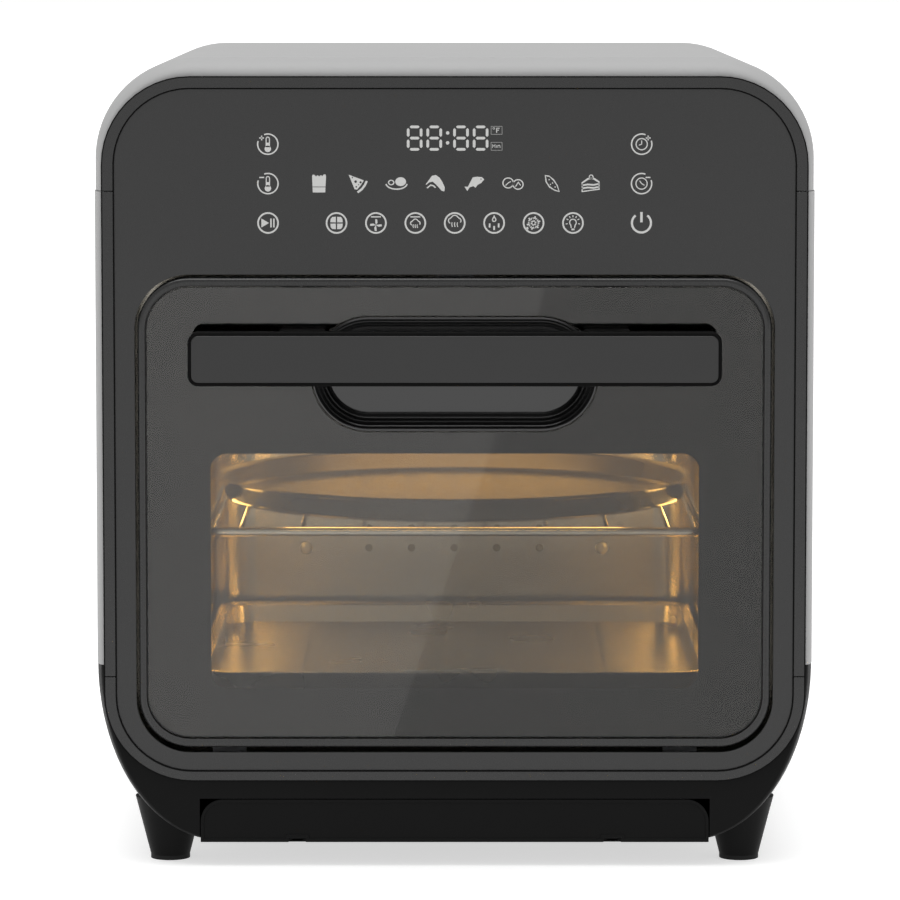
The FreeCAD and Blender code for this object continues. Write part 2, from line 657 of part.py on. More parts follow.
def hinge_pin(side):
    low, high = mirrored("hinge_across - pin_length / 2", "hinge_across + pin_length / 2", side)
    return cylinder("x", (low, "hinge_y", "hinge_z"), "pin_radius", f"({high}) - ({low})")


def hinge_slot(side):
    """The space in the door's rail that the arm needs from shut to open."""
    reach = "(knuckle_width / 2 + knuckle_gap)"
    low, high = mirrored(f"hinge_across - {reach}", f"hinge_across + {reach}", side)
    width = f"({high}) - ({low})"
    free_radius = "knuckle_radius + knuckle_clearance"
    barrel = cylinder("x", (low, "hinge_y", "hinge_z"), free_radius, width)
    behind = "hinge_y - arm_thickness / 2 - arm_clearance"
    shallow = box((low, high), (behind, "glass_back + knuckle_clearance"),
                  (f"door_low - {PAST}", f"hinge_z + {free_radius}"))
    deep = box((low, high), ("glass_back", f"frame_back + {PAST}"),
               (f"door_low - {PAST}", "hinge_z + slot_rise"))
    return fuse(barrel, shallow, deep)


def make_hinges():
    brackets = []
    for side in SIDES.values():
        low, high = mirrored("hinge_across - knuckle_width / 2", "hinge_across + knuckle_width / 2", side)
        knuckle = cylinder("x", (low, "hinge_y", "hinge_z"), "knuckle_radius", "knuckle_width")
        arm = box((low, high), ("hinge_y", "plate_front"),
                  ("hinge_z - arm_thickness / 2", "hinge_z + arm_thickness / 2"))
        foot = box(mirrored("hinge_across - bracket_width / 2", "hinge_across + bracket_width / 2", side),
                   ("plate_front - bracket_thickness", "plate_front"),
                   ("hinge_z - bracket_drop", "panel_low - gasket_sill - gasket_gap / 2"))
        bore = cylinder("x", (low, "hinge_y", "hinge_z"), "pin_radius + running_fit", "knuckle_width")
        brackets.append(cut(fuse(knuckle, arm, foot), bore))
    name_part("hinge_brackets", group(*brackets))


# Cooking cavity

def make_front_frame():
    mouth = ("-cavity_half", "cavity_half", "cavity_floor", "cavity_top", "mouth_corner")
    outline = ("-door_half - frame_side_lap", "door_half + frame_side_lap", "door_low - frame_sill",
               "door_top + frame_head", "frame_corner")
    name_part("front_frame", plate("XZ", "plate_front", "frame_plate", outline, mouth))
    seal_half = "cavity_half + gasket_inset"
    seal_in = (f"-({seal_half})", seal_half, "panel_low - gasket_sill + gasket_width",
               "cavity_top", "gasket_width")
    seal_out = (f"-({seal_half}) - gasket_width", f"{seal_half} + gasket_width", "panel_low - gasket_sill",
                "cavity_top + gasket_width - gasket_gap * 3", "gasket_width * 2")
    seat = "door_back + gasket_gap"
    name_part("door_gasket", plate("XZ", seat, f"plate_front - ({seat})", seal_out, seal_in))
    keeper_low = "door_top - catch_drop"
    keeper = box(("-keeper_width / 2", "keeper_width / 2"), (seat, "plate_front"),
                 (keeper_low, f"{keeper_low} + keeper_height"))
    name_part("catch_keeper", keeper)
    switch_low = "door_top + switch_rise"
    switch = box(("switch_across - switch_length / 2", "switch_across + switch_length / 2"),
                 ("plate_front - switch_depth", "plate_front"), (switch_low, f"{switch_low} + switch_height"))
    name_part("door_switch", switch)


def cavity_loop(grow, start):
    """The cavity's plan outline, grown outwards; its front end runs past the mouth."""
    return (f"-cavity_half - ({grow})", f"cavity_half + {grow}", f"cavity_mouth - {start}",
            f"cavity_rear + {grow}", f"cavity_corner + {grow}")


def side_hole(side, start, y, z, radius, length):
    """A round hole or rod across a side wall, starting outside or inside it."""
    return cylinder("x", (f"{side} * cavity_half + ({start})", y, z), radius, length)


VENT_COLUMNS = range(-2, 3)
VENT_ROWS = (0, 1, 6, 7, 11, 12)
HEATER_SHARES = (0.25, 0.75)


def heater_places():
    return [f"cavity_mouth + {share} * cavity_depth" for share in HEATER_SHARES]


def make_cavity():
    wall = "sheet_wall"
    past_front = "3 * cavity_corner"
    sleeve = plate("XY", "cavity_floor", "cavity_height", cavity_loop(wall, past_front),
                   cavity_loop("0", past_front))
    across, full = ("-casing_width", "casing_width"), ("0", "casing_height")
    wrap = common(sleeve, box(across, ("cavity_mouth", "rear"), full))
    holes = [cylinder("y", (f"{column} * vent_pitch", f"cavity_rear - {PAST}",
                            f"vent_low + {row} * vent_step"), "vent_hole", f"2 * {PAST}")
             for column in VENT_COLUMNS for row in VENT_ROWS]
    heaters = [cylinder("x", ("-casing_width", y, "heater_level"), "heater_radius + heater_fit",
                        "2 * casing_width") for y in heater_places()]
    lamp = side_hole(1, f"-{PAST}", "lamp_y", "lamp_level", "lamp_radius + heater_fit", f"2 * {PAST}")
    probe = side_hole(-1, f"-{PAST}", "probe_y", "probe_level", "probe_radius + heater_fit", f"2 * {PAST}")
    runners = []
    for side in SIDES.values():
        reach = mirrored("cavity_half - runner_proud", f"cavity_half + {wall} / 2", side)
        for level in ("rack_level - frame_wire - runner_thickness - runner_fit",
                      "rack_level + frame_wire + runner_headroom",
                      "tray_floor - runner_thickness - runner_fit"):
            runners.append(box(reach, ("cavity_mouth + runner_front", "cavity_rear - runner_back"),
                               (level, f"{level} + runner_thickness")))
    pierced = cut(wrap, *holes, *heaters, lamp, probe)
    name_part("cavity_wrap", fuse(pierced, *runners))
    floor_plate = ("-cavity_half", "cavity_half", "cavity_mouth", "cavity_rear", "floor_corner")
    name_part("cavity_floor_plate", plate("XY", f"cavity_floor - {wall}", wall, floor_plate))
    ceiling = plate("XY", "cavity_top", wall, (f"-cavity_half - {wall}", f"cavity_half + {wall}",
                                              "cavity_mouth", f"cavity_rear + {wall}", "floor_corner"))
    opening = cylinder("z", ("0", "cavity_middle", f"cavity_top - {PAST}"), "grille_radius - grille_lap",
                       f"2 * {PAST}")
    name_part("cavity_ceiling", cut(ceiling, opening))
    blanket = plate("XY", "cavity_floor + insulation_low", "cavity_height - insulation_low - insulation_top",
                    cavity_loop(f"({wall} + insulation_wall)", past_front), cavity_loop(wall, past_front))
    kept = box(across, ("cavity_mouth + insulation_front", "rear"), full)
    lamp_way = side_hole(1, f"-{PAST}", "lamp_y", "lamp_level", "lamp_radius + service_gap", f"3 * {PAST}")
    probe_way = side_hole(-1, f"-2 * {PAST}", "probe_y", "probe_level", "probe_radius + service_gap",
                          f"3 * {PAST}")
    name_part("insulation", cut(common(blanket, kept), lamp_way, probe_way))


def make_heating():
    centre = ("0", "cavity_middle")
    grille_at = "grille_level - sheet_wall"
    disc = cylinder("z", centre + (grille_at,), "grille_radius", "sheet_wall")
    reach = "(grille_radius - 3 * grille_lap)"
    slots = []
    for turn in range(0, 180, 30):
        slot = DOC.addObject("Part::Box", "Slot")
        bind(slot, "Length", f"2 * {reach}")
        bind(slot, "Width", "grille_slot")
        bind(slot, "Height", f"{PAST}")
        slot.Placement = Placement(Vector(), Rotation(Vector(0, 0, 1), turn))
        bind(slot, "Placement.Base.x", f"grille_slot / 2 * sin({turn}) - {reach} * cos({turn})")
        bind(slot, "Placement.Base.y",
             f"cavity_middle - {reach} * sin({turn}) - grille_slot / 2 * cos({turn})")
        bind(slot, "Placement.Base.z", f"{grille_at} - {PAST} / 2")
        slots.append(slot)
    hub = cylinder("z", centre + (grille_at,), "grille_hub", "sheet_wall")
    name_part("ceiling_grille", fuse(cut(disc, fuse(*slots)), hub))
    name_part("upper_heater", group(ring(centre + ("coil_level",), "coil_radius", "heater_radius"),
                                    ring(centre + ("coil_level",), "coil_radius * 0.7", "heater_radius")))
    half = "cavity_half + heater_stub"
    rods = [cylinder("x", (f"-({half})", y, "heater_level"), "heater_radius", f"2 * ({half})")
            for y in heater_places()]
    ends = [cylinder("x", (low, y, "heater_level"), "cap_radius", "cap_length")
            for y in heater_places() for low in (f"-({half}) - cap_length", half)]
    name_part("lower_heaters", group(*rods))
    name_part("heater_ends", group(*ends))
    base = "cavity_top + sheet_wall"
    drum = cylinder("z", centre + (base,), "shroud_radius", "shroud_height")
    space = cylinder("z", centre + (f"{base} - shroud_wall",), "shroud_radius - shroud_wall", "shroud_height")
    shaft_way = cylinder("z", centre + (f"shroud_top - {PAST} / 2",), "shaft_radius + shaft_clearance",
                         f"{PAST}")
    name_part("fan_shroud", cut(drum, space, shaft_way))


def fan_wheel(level, radius, blades, chord):
    """A paddle wheel: a hub, a thin backing disc and blades standing round it."""
    centre = ("0", "cavity_middle")
    disc = cylinder("z", centre + (f"{level} + {chord}",), radius, "fan_disc")
    core = cylinder("z", centre + (level,), "fan_hub", f"{chord} + fan_disc")
    wheel = [disc, core]
    start = "(fan_hub + fan_hub / 3)"
    for index in range(blades):
        turn = 360 * index / blades
        blade = DOC.addObject("Part::Box", "Blade")
        bind(blade, "Length", f"{radius} - {start} - blade_wall")
        bind(blade, "Width", "blade_wall")
        bind(blade, "Height", f"{chord} + fan_disc / 4")
        blade.Placement = Placement(Vector(), Rotation(Vector(0, 0, 1), turn))
        bind(blade, "Placement.Base.x", f"{start} * cos({turn})")
        bind(blade, "Placement.Base.y", f"cavity_middle + {start} * sin({turn})")
        bind(blade, "Placement.Base.z", level)
        wheel.append(blade)
    return cut(fuse(*wheel), cylinder("z", centre + (f"{level} - {PAST} / 2",), "shaft_radius",
                                      f"{chord} + {PAST}"))


def make_fan():
    centre = ("0", "cavity_middle")
    name_part("convection_fan", fan_wheel("fan_level", "fan_radius", 8, "fan_blade"))
    name_part("cooling_fan", fan_wheel("cooler_level", "cooler_radius", 9, "cooler_blade"))
    name_part("fan_shaft", cylinder("z", centre + ("fan_level",), "shaft_radius",
                                    "cooler_level - fan_level + shaft_end"))
    shell = cylinder("z", centre + ("motor_level",), "motor_radius", "motor_height")
    bore = cylinder("z", centre + (f"motor_level - {PAST}",), "shaft_radius + running_fit",
                    f"motor_height + 2 * {PAST}")
    name_part("fan_motor", cut(shell, bore))
    strip = ("cavity_middle - bracket_strip / 2", "cavity_middle + bracket_strip / 2")
    half = "shroud_radius + shaft_clearance + strip_wall"
    top = ("motor_level - strip_wall", "motor_level")
    bridge = box((f"-({half})", half), strip, top)
    legs = [box(mirrored(f"{half} - strip_wall", half, side), strip,
                ("cavity_top + sheet_wall", "motor_level")) for side in SIDES.values()]
    clear = cylinder("z", centre + (f"motor_level - {PAST} / 2",), "shaft_radius + shaft_clearance * 2",
                     f"{PAST}")
    name_part("motor_bracket", cut(fuse(bridge, *legs), clear))


def make_lamp_and_probe():
    at = ("lamp_y", "lamp_level")
    half_lens = "lens_wall / 2"
    name_part("lamp_lens", side_hole(1, f"-{half_lens}", *at, "lamp_radius", "lens_wall"))
    tube = side_hole(1, half_lens, *at, "lamp_radius", "socket_length")
    space = side_hole(1, "0", *at, "lamp_radius - socket_wall",
                      f"bulb_gap + bulb_length + bulb_foot_length")
    name_part("lamp_socket", cut(tube, space))
    name_part("lamp_bulb", fuse(side_hole(1, "bulb_gap", *at, "bulb_radius", "bulb_length"),
                                side_hole(1, "bulb_gap + bulb_length", *at, "bulb_foot_radius",
                                          "bulb_foot_length")))
    name_part("temperature_probe", side_hole(-1, "-probe_outside", "probe_y", "probe_level", "probe_radius",
                                             "probe_length"))


# Rack, pan and trays

def make_rack():
    low, high, level = "rack_front", "rack_back", "rack_level"
    length = f"({high}) - ({low})"
    bar_half = "rack_half - frame_wire"
    side_bars = [cylinder("y", (x, low, level), "frame_wire", length) for x in on_both_sides(bar_half)]
    end_bars = [cylinder("x", (f"-({bar_half})", y, level), "frame_wire", f"2 * ({bar_half})")
                for y in (low, high)]
    corners = [sphere((x, y, level), "frame_wire") for x in on_both_sides(bar_half) for y in (low, high)]
    name_part("rack_frame", fuse(*side_bars, *end_bars, *corners))
    wires = [cylinder("y", (f"{number} * wire_pitch / 2", f"{low} + frame_wire - wire_weld", level),
                      "cross_wire", f"{length} - 2 * frame_wire + 2 * wire_weld")
             for number in range(-7, 8, 2)]
    name_part("rack_wires", group(*wires))


def make_pan():
    centre = ("0", "cavity_middle")
    low, high = "pan_radius - 2 * pan_taper", "pan_radius - pan_taper"
    outside = cone(centre + ("pan_floor",), low, high, "pan_height")
    inside = cone(centre + ("pan_floor + pan_wall",), f"{low} - pan_wall", f"{high} - pan_wall",
                  "pan_height + 0.1")
    rim = ring(centre + ("pan_floor + pan_height - pan_rim",), "pan_radius - pan_rim - 0.3", "pan_rim")
    name_part("round_pan", fuse(cut(outside, inside), rim))


def make_bake_tray():
    wall, lip = "tray_wall", "tray_lip"
    outer = (f"-tray_half + {lip}", f"tray_half - {lip}", f"tray_front + {lip}", f"tray_back - {lip}",
             "tray_corner")
    inner = (f"-tray_half + {lip} + {wall}", f"tray_half - {lip} - {wall}", f"tray_front + {lip} + {wall}",
             f"tray_back - {lip} - {wall}", f"tray_corner - {wall}")
    rim = ("-tray_half", "tray_half", "tray_front", "tray_back", f"tray_corner + {lip}")
    base = plate("XY", "tray_floor", wall, outer)
    walls = plate("XY", "tray_floor", "tray_height", outer, inner)
    edge = plate("XY", f"tray_level - {wall}", wall, rim, inner)
    ribs = [box((f"{number} * rib_pitch - rib_width / 2", f"{number} * rib_pitch + rib_width / 2"),
                ("tray_front + rib_inset", "tray_back - rib_inset"),
                (f"tray_floor + {wall} / 2", "tray_floor + rib_height"))
            for number in (-1, 0, 1)]
    name_part("bake_tray", fuse(base, walls, edge, *ribs))


def make_drip_tray():
    wall, low, corner = "drip_wall", "shell_front + hull_wall", "drip_body_corner"
    outline = ("-drip_body_half", "drip_body_half", low, "drip_back", corner)
    inside = (f"-drip_body_half + {wall}", f"drip_body_half - {wall}", f"{low} + {wall}",
              f"drip_back - {wall}", f"{corner} - {wall}")
    name_part("drip_tray", fuse(plate("XY", "drip_floor", wall, outline),
                                plate("XY", "drip_floor", "drip_top - drip_floor", outline, inside)))
    face = plate("XZ", "shell_front", "hull_wall", ("-drip_half", "drip_half", "floor_gap - 2 * drip_corner",
                                                    "drip_front_top", "drip_corner"))
    kept = box(("-casing_width", "casing_width"), ("front", f"front + 2 * {PAST}"),
               ("floor_gap", "casing_height"))
    notches = [box(mirrored("notch_inner", "notch_inner + notch_width", side),
                   (f"front - {PAST}", "shell_front + notch_depth"), ("0", "floor_gap + notch_height"))
               for side in SIDES.values()]
    name_part("drip_tray_front", cut(common(face, kept), *notches))
    inside_rail = "drip_body_half + drip_gap"
    rails = [box(mirrored(inside_rail, f"{inside_rail} + rail_width", side),
                 ("front + rail_start", "drip_back"),
                 ("floor_gap + hull_wall + seam_gap", "drip_top - rail_drop")) for side in SIDES.values()]
    name_part("drip_rails", group(*rails))


# Electronics, rear and feet

def make_electronics():
    board_half = "board_width / 2"
    board = plate("XZ", "fascia_back + display_depth", "board_wall",
                  (f"-{board_half}", board_half, "door_top + board_margin", "fascia_top - board_margin",
                   "board_wall"))
    name_part("control_board", board)
    display_top = "fascia_top - display_drop"
    name_part("display_module", box(("-display_width / 2", "display_width / 2"),
                                    ("fascia_back", "fascia_back + display_depth"),
                                    (f"{display_top} - display_height", display_top)))
    outside = "-half_width + power_gap"
    power_rear, power_low = "cavity_rear - power_back", "cavity_floor + power_low"
    sheet = box((outside, f"{outside} + board_wall"), (f"{power_rear} - power_length", power_rear),
                (power_low, "cavity_top - power_top"))
    relay_rear, relay_low = f"{power_rear} - relay_back", f"{power_low} + relay_low"
    relay = box((f"{outside} - relay_depth", outside), (f"{relay_rear} - relay_size", relay_rear),
                (relay_low, f"{relay_low} + relay_size"))
    capacitor = cylinder("x", (f"{outside} - relay_depth", f"{power_rear} - capacitor_back",
                               f"{power_low} + capacitor_low"), "capacitor_radius", "relay_depth")
    name_part("power_board", fuse(sheet, relay, capacitor))


def make_rear():
    outline = ("-half_width + rear_inset", "half_width - rear_inset", "lower_seam - casing_corner",
               "casing_height - rear_inset", "casing_corner - rear_inset")
    past = (f"rear - {PAST}", f"rear + {PAST}")
    highest = "casing_height - louvre_top"
    slots = []
    for column in range(-4, 5):
        middle = f"{column} * louvre_pitch"
        for row in range(5):
            low = f"{highest} - {row} * louvre_step"
            slots.append(box((f"{middle} - louvre_width / 2", f"{middle} + louvre_width / 2"), past,
                             (low, f"{low} + louvre_height")))
    sheet = common(plate("XZ", "rear - rear_wall", "rear_wall", outline),
                   box(("-casing_width", "casing_width"), ("front", past[1]),
                       ("lower_seam + seam_gap", f"casing_height + {PAST}")))
    neck = "gland_radius - gland_lap"
    way = cylinder("y", ("gland_x", past[0], "gland_z"), neck, f"2 * {PAST}")
    name_part("rear_cover", cut(sheet, *slots, way))
    barrel = cylinder("y", ("gland_x", "rear - gland_depth", "gland_z"), neck, "gland_depth + spacer_depth")
    flange = cylinder("y", ("gland_x", "rear", "gland_z"), "gland_radius", "gland_flange")
    bore = cylinder("y", ("gland_x", past[0], "gland_z"), "gland_bore", f"2 * {PAST}")
    name_part("cord_gland", cut(fuse(barrel, flange), bore))
    spacers = [cylinder("y", (x, "rear", z), "spacer_radius", "spacer_depth")
               for x in on_both_sides("half_width - spacer_inset")
               for z in ("lower_seam + spacer_low", "casing_height - spacer_top")]
    name_part("rear_spacers", group(*spacers))
    screws = [cylinder("y", (x, "rear", z), "rear_screw_radius", "rear_screw_head")
              for x in on_both_sides("half_width - rear_screw_inset")
              for z in ("lower_seam + rear_screw_low", "casing_height / 2", "casing_height - rear_screw_top")]
    name_part("rear_screws", group(*screws))


def make_feet():
    roll, run = rolled_solid(hull_outline, 0)
    hull = plain(roll.fuse(run).removeSplitter())
    feet, pads = [], []
    for y in ("front + foot_inset", "rear - foot_inset"):
        for x in on_both_sides("foot_across"):
            taper = cone((x, y, "pad_height"), "foot_low_radius", "foot_high_radius",
                         "foot_height - pad_height")
            feet.append(cut(taper, hull))
            pads.append(cylinder("z", (x, y, "0"), "foot_low_radius", "pad_height"))
    name_part("feet", group(*feet))
    name_part("foot_pads", group(*pads))


def check_and_export():
    DOC.recompute()
    for piece in DOC.Objects:
        faults = {"Invalid", "Error"} & set(piece.State)
        if faults:
            raise RuntimeError(f"{piece.Label} ({piece.TypeId}) is {faults}")
    os.makedirs("parts", exist_ok=True)
    for piece in PARTS:
        shape = piece.Shape
        if shape.isNull() or not shape.isValid() or not shape.Solids:
            raise RuntimeError(f"{piece.Label} has no valid solid")
        shape.exportStep(f"parts/{piece.Label}.step")
        size = shape.BoundBox
        print(f"{piece.Label:20s} solids {len(shape.Solids):2d}  x {size.XMin:7.1f} {size.XMax:7.1f}"
              f"  y {size.YMin:7.1f} {size.YMax:7.1f}  z {size.ZMin:7.1f} {size.ZMax:7.1f}")


fill_sheet()
make_casing()
make_hull()
make_trim()
make_fascia()
make_door()
make_hinges()
make_front_frame()
make_cavity()
make_heating()
make_fan()
make_lamp_and_probe()
make_rack()
make_pan()
make_bake_tray()
make_drip_tray()
make_electronics()
make_rear()
make_feet()
check_and_export()
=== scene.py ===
import logging
import math
from dataclasses import dataclass, field
from enum import Enum
from typing import Callable, Iterable, Sequence

import bpy
from mathutils import Matrix, Vector


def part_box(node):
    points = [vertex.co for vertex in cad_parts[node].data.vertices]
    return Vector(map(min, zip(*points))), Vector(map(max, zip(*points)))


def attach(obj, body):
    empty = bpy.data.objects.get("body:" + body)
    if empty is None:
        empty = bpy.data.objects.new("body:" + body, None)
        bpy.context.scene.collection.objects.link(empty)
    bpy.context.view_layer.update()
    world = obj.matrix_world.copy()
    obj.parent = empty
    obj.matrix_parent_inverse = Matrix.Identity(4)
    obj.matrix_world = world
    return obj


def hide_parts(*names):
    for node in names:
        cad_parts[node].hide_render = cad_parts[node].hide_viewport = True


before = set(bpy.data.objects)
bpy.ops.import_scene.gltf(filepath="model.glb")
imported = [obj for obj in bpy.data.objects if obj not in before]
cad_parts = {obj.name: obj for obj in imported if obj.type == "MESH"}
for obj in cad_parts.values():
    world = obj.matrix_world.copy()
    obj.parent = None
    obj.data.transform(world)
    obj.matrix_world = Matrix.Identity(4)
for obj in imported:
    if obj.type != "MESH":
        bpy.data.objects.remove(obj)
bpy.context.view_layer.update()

LOG = logging.getLogger("toaster_oven")
MM = 0.001
CUT_PAST = 10 * MM
BOTH_SIDES = (-1, 1)
ALIGNED = 0.99
WELD = 1e-6
BEVEL_ANGLE = 30.0
SMOOTH_ANGLE = 35.0

Colour = tuple[float, float, float]
Point2 = tuple[float, float]


# --------------------------------------------------------------------------------------------
# Finishes
# --------------------------------------------------------------------------------------------


class Graph:
    """A small helper that builds one material's node tree."""

    def __init__(self, name: str) -> None:
        """Start an empty material.

        Args:
            name: the material's name.
        """
        self.material = bpy.data.materials.new(name)
        self.material.use_nodes = True
        self.tree = self.material.node_tree
        self.tree.nodes.clear()
        self.output = self.node("ShaderNodeOutputMaterial")
        self.shader = self.node("ShaderNodeBsdfPrincipled")
        self.link(self.shader, "BSDF", self.output, "Surface")

    def node(self, kind: str, **values: object) -> bpy.types.Node:
        """Add a node and set its sockets by name.

        Args:
            kind: the node's type name.
            **values: socket values, with spaces in their names written as underscores.

        Returns:
            The new node.
        """
        made = self.tree.nodes.new(kind)
        for name, value in values.items():
            made.inputs[name.replace("_", " ")].default_value = value
        return made

    def link(self, source: bpy.types.Node, out: str, target: bpy.types.Node, into: str) -> None:
        """Join an output socket to an input socket, both by name."""
        self.tree.links.new(source.outputs[out], target.inputs[into])

    def place(self, stretch: Sequence[float] = (1.0, 1.0, 1.0)) -> bpy.types.Node:
        """Add the object coordinates that the patterns read.

        Args:
            stretch: how many times the pattern repeats in a metre along each axis.

        Returns:
            The mapping node.
        """
        source = self.node("ShaderNodeTexCoord")
        mapping = self.node("ShaderNodeMapping", Scale=tuple(stretch))
        self.link(source, "Object", mapping, "Vector")
        return mapping

    def noise(self, mapping: bpy.types.Node, scale: float, detail: float = 3.0) -> bpy.types.Node:
        """Add a noise pattern on a mapping.

        Args:
            mapping: the mapping node that it reads.
            scale: how fine it is.
            detail: how many finer layers it has.

        Returns:
            The noise node.
        """
        made = self.node("ShaderNodeTexNoise", Scale=scale, Detail=detail)
        self.link(mapping, "Vector", made, "Vector")
        return made

    def spread(self, source: bpy.types.Node, out: str, low: float, high: float) -> bpy.types.Node:
        """Map a pattern's 0.3 to 0.7 onto a range.

        Args:
            source: the pattern node.
            out: its output socket.
            low: the value at the pattern's low end.
            high: the value at its high end.

        Returns:
            The map range node.
        """
        made = self.node("ShaderNodeMapRange", From_Min=0.3, From_Max=0.7, To_Min=low, To_Max=high)
        self.link(source, out, made, "Value")
        return made

    def tint(self, source: bpy.types.Node, out: str, low: Colour, high: Colour) -> bpy.types.Node:
        """Colour a pattern between two tones.

        Args:
            source: the pattern node.
            out: its output socket.
            low: the colour at the low end.
            high: the colour at the high end.

        Returns:
            The colour ramp node.
        """
        ramp = self.node("ShaderNodeValToRGB")
        first, last = ramp.color_ramp.elements
        first.position, last.position = 0.3, 0.7
        first.color, last.color = (*low, 1.0), (*high, 1.0)
        self.link(source, out, ramp, "Fac")
        return ramp

    def bump(self, source: bpy.types.Node, out: str, height: float) -> None:
        """Raise the surface by a pattern.

        Args:
            source: the pattern's node.
            out: the name of its output.
            height: how far it raises the surface, in metres.
        """
        made = self.node("ShaderNodeBump", Distance=height, Strength=1.0)
        self.link(source, out, made, "Height")
        self.link(made, "Normal", self.shader, "Normal")


def shade(colour: Colour, share: float) -> Colour:
    """Lighten or darken a colour by a share of itself."""
    return tuple(min(1.0, max(0.0, part * (1.0 + share))) for part in colour)


@dataclass(frozen=True)
class Finish:
    """A painted, moulded or bare surface with a fine grain, small tone changes and a real roughness."""

    name: str
    colour: Colour
    roughness: float = 0.4
    metallic: float = 0.0
    tone: float = 0.04
    grain: float = 900.0
    bump_mm: float = 0.004
    stretch: tuple[float, float, float] = (1.0, 1.0, 1.0)
    rough_spread: float = 0.06
    sheen: float = 0.0
    specular: float = 0.5
    cloud_scale: float = 14.0

    def build(self) -> bpy.types.Material:
        """Build the material.

        Returns:
            A new material.
        """
        graph = Graph(self.name)
        shader = graph.shader.inputs
        shader["Metallic"].default_value = self.metallic
        shader["Sheen Weight"].default_value = self.sheen
        shader["Specular IOR Level"].default_value = self.specular
        mapping = graph.place(self.stretch)
        clouds = graph.noise(mapping, self.cloud_scale, 2.0)
        grain = graph.noise(mapping, self.grain, 2.0)
        colour = graph.tint(clouds, "Fac", shade(self.colour, -self.tone), shade(self.colour, self.tone))
        graph.link(colour, "Color", graph.shader, "Base Color")
        rough = graph.spread(grain, "Fac", self.roughness - self.rough_spread,
                             self.roughness + self.rough_spread)
        graph.link(rough, "Result", graph.shader, "Roughness")
        if self.bump_mm > 0:
            graph.bump(grain, "Fac", self.bump_mm * MM)
        return graph.material


@dataclass(frozen=True)
class GlassFinish:
    """Clear or tinted glass, or hard clear plastic, with faint smears that only change its gloss."""

    name: str
    colour: Colour
    roughness: float = 0.0
    smear: float = 0.003
    smear_scale: float = 25.0
    ior: float = 1.5

    def build(self) -> bpy.types.Material:
        """Build the material.

        Returns:
            A new material.
        """
        graph = Graph(self.name)
        shader = graph.shader.inputs
        shader["Base Color"].default_value = (*self.colour, 1.0)
        shader["Transmission Weight"].default_value = 1.0
        shader["IOR"].default_value = self.ior
        smears = graph.noise(graph.place(), self.smear_scale, 4.0)
        rough = graph.spread(smears, "Fac", self.roughness, self.roughness + self.smear)
        graph.link(rough, "Result", graph.shader, "Roughness")
        return graph.material


@dataclass(frozen=True)
class GlowFinish:
    """A surface that gives off its own light."""

    name: str
    colour: Colour
    strength: float
    cloud_scale: float = 60.0

    def build(self) -> bpy.types.Material:
        """Build the material.

        Returns:
            A new material.
        """
        graph = Graph(self.name)
        graph.shader.inputs["Emission Strength"].default_value = self.strength
        clouds = graph.noise(graph.place(), self.cloud_scale)
        ramp = graph.tint(clouds, "Fac", shade(self.colour, -0.05), self.colour)
        graph.link(ramp, "Color", graph.shader, "Emission Color")
        graph.link(ramp, "Color", graph.shader, "Base Color")
        return graph.material


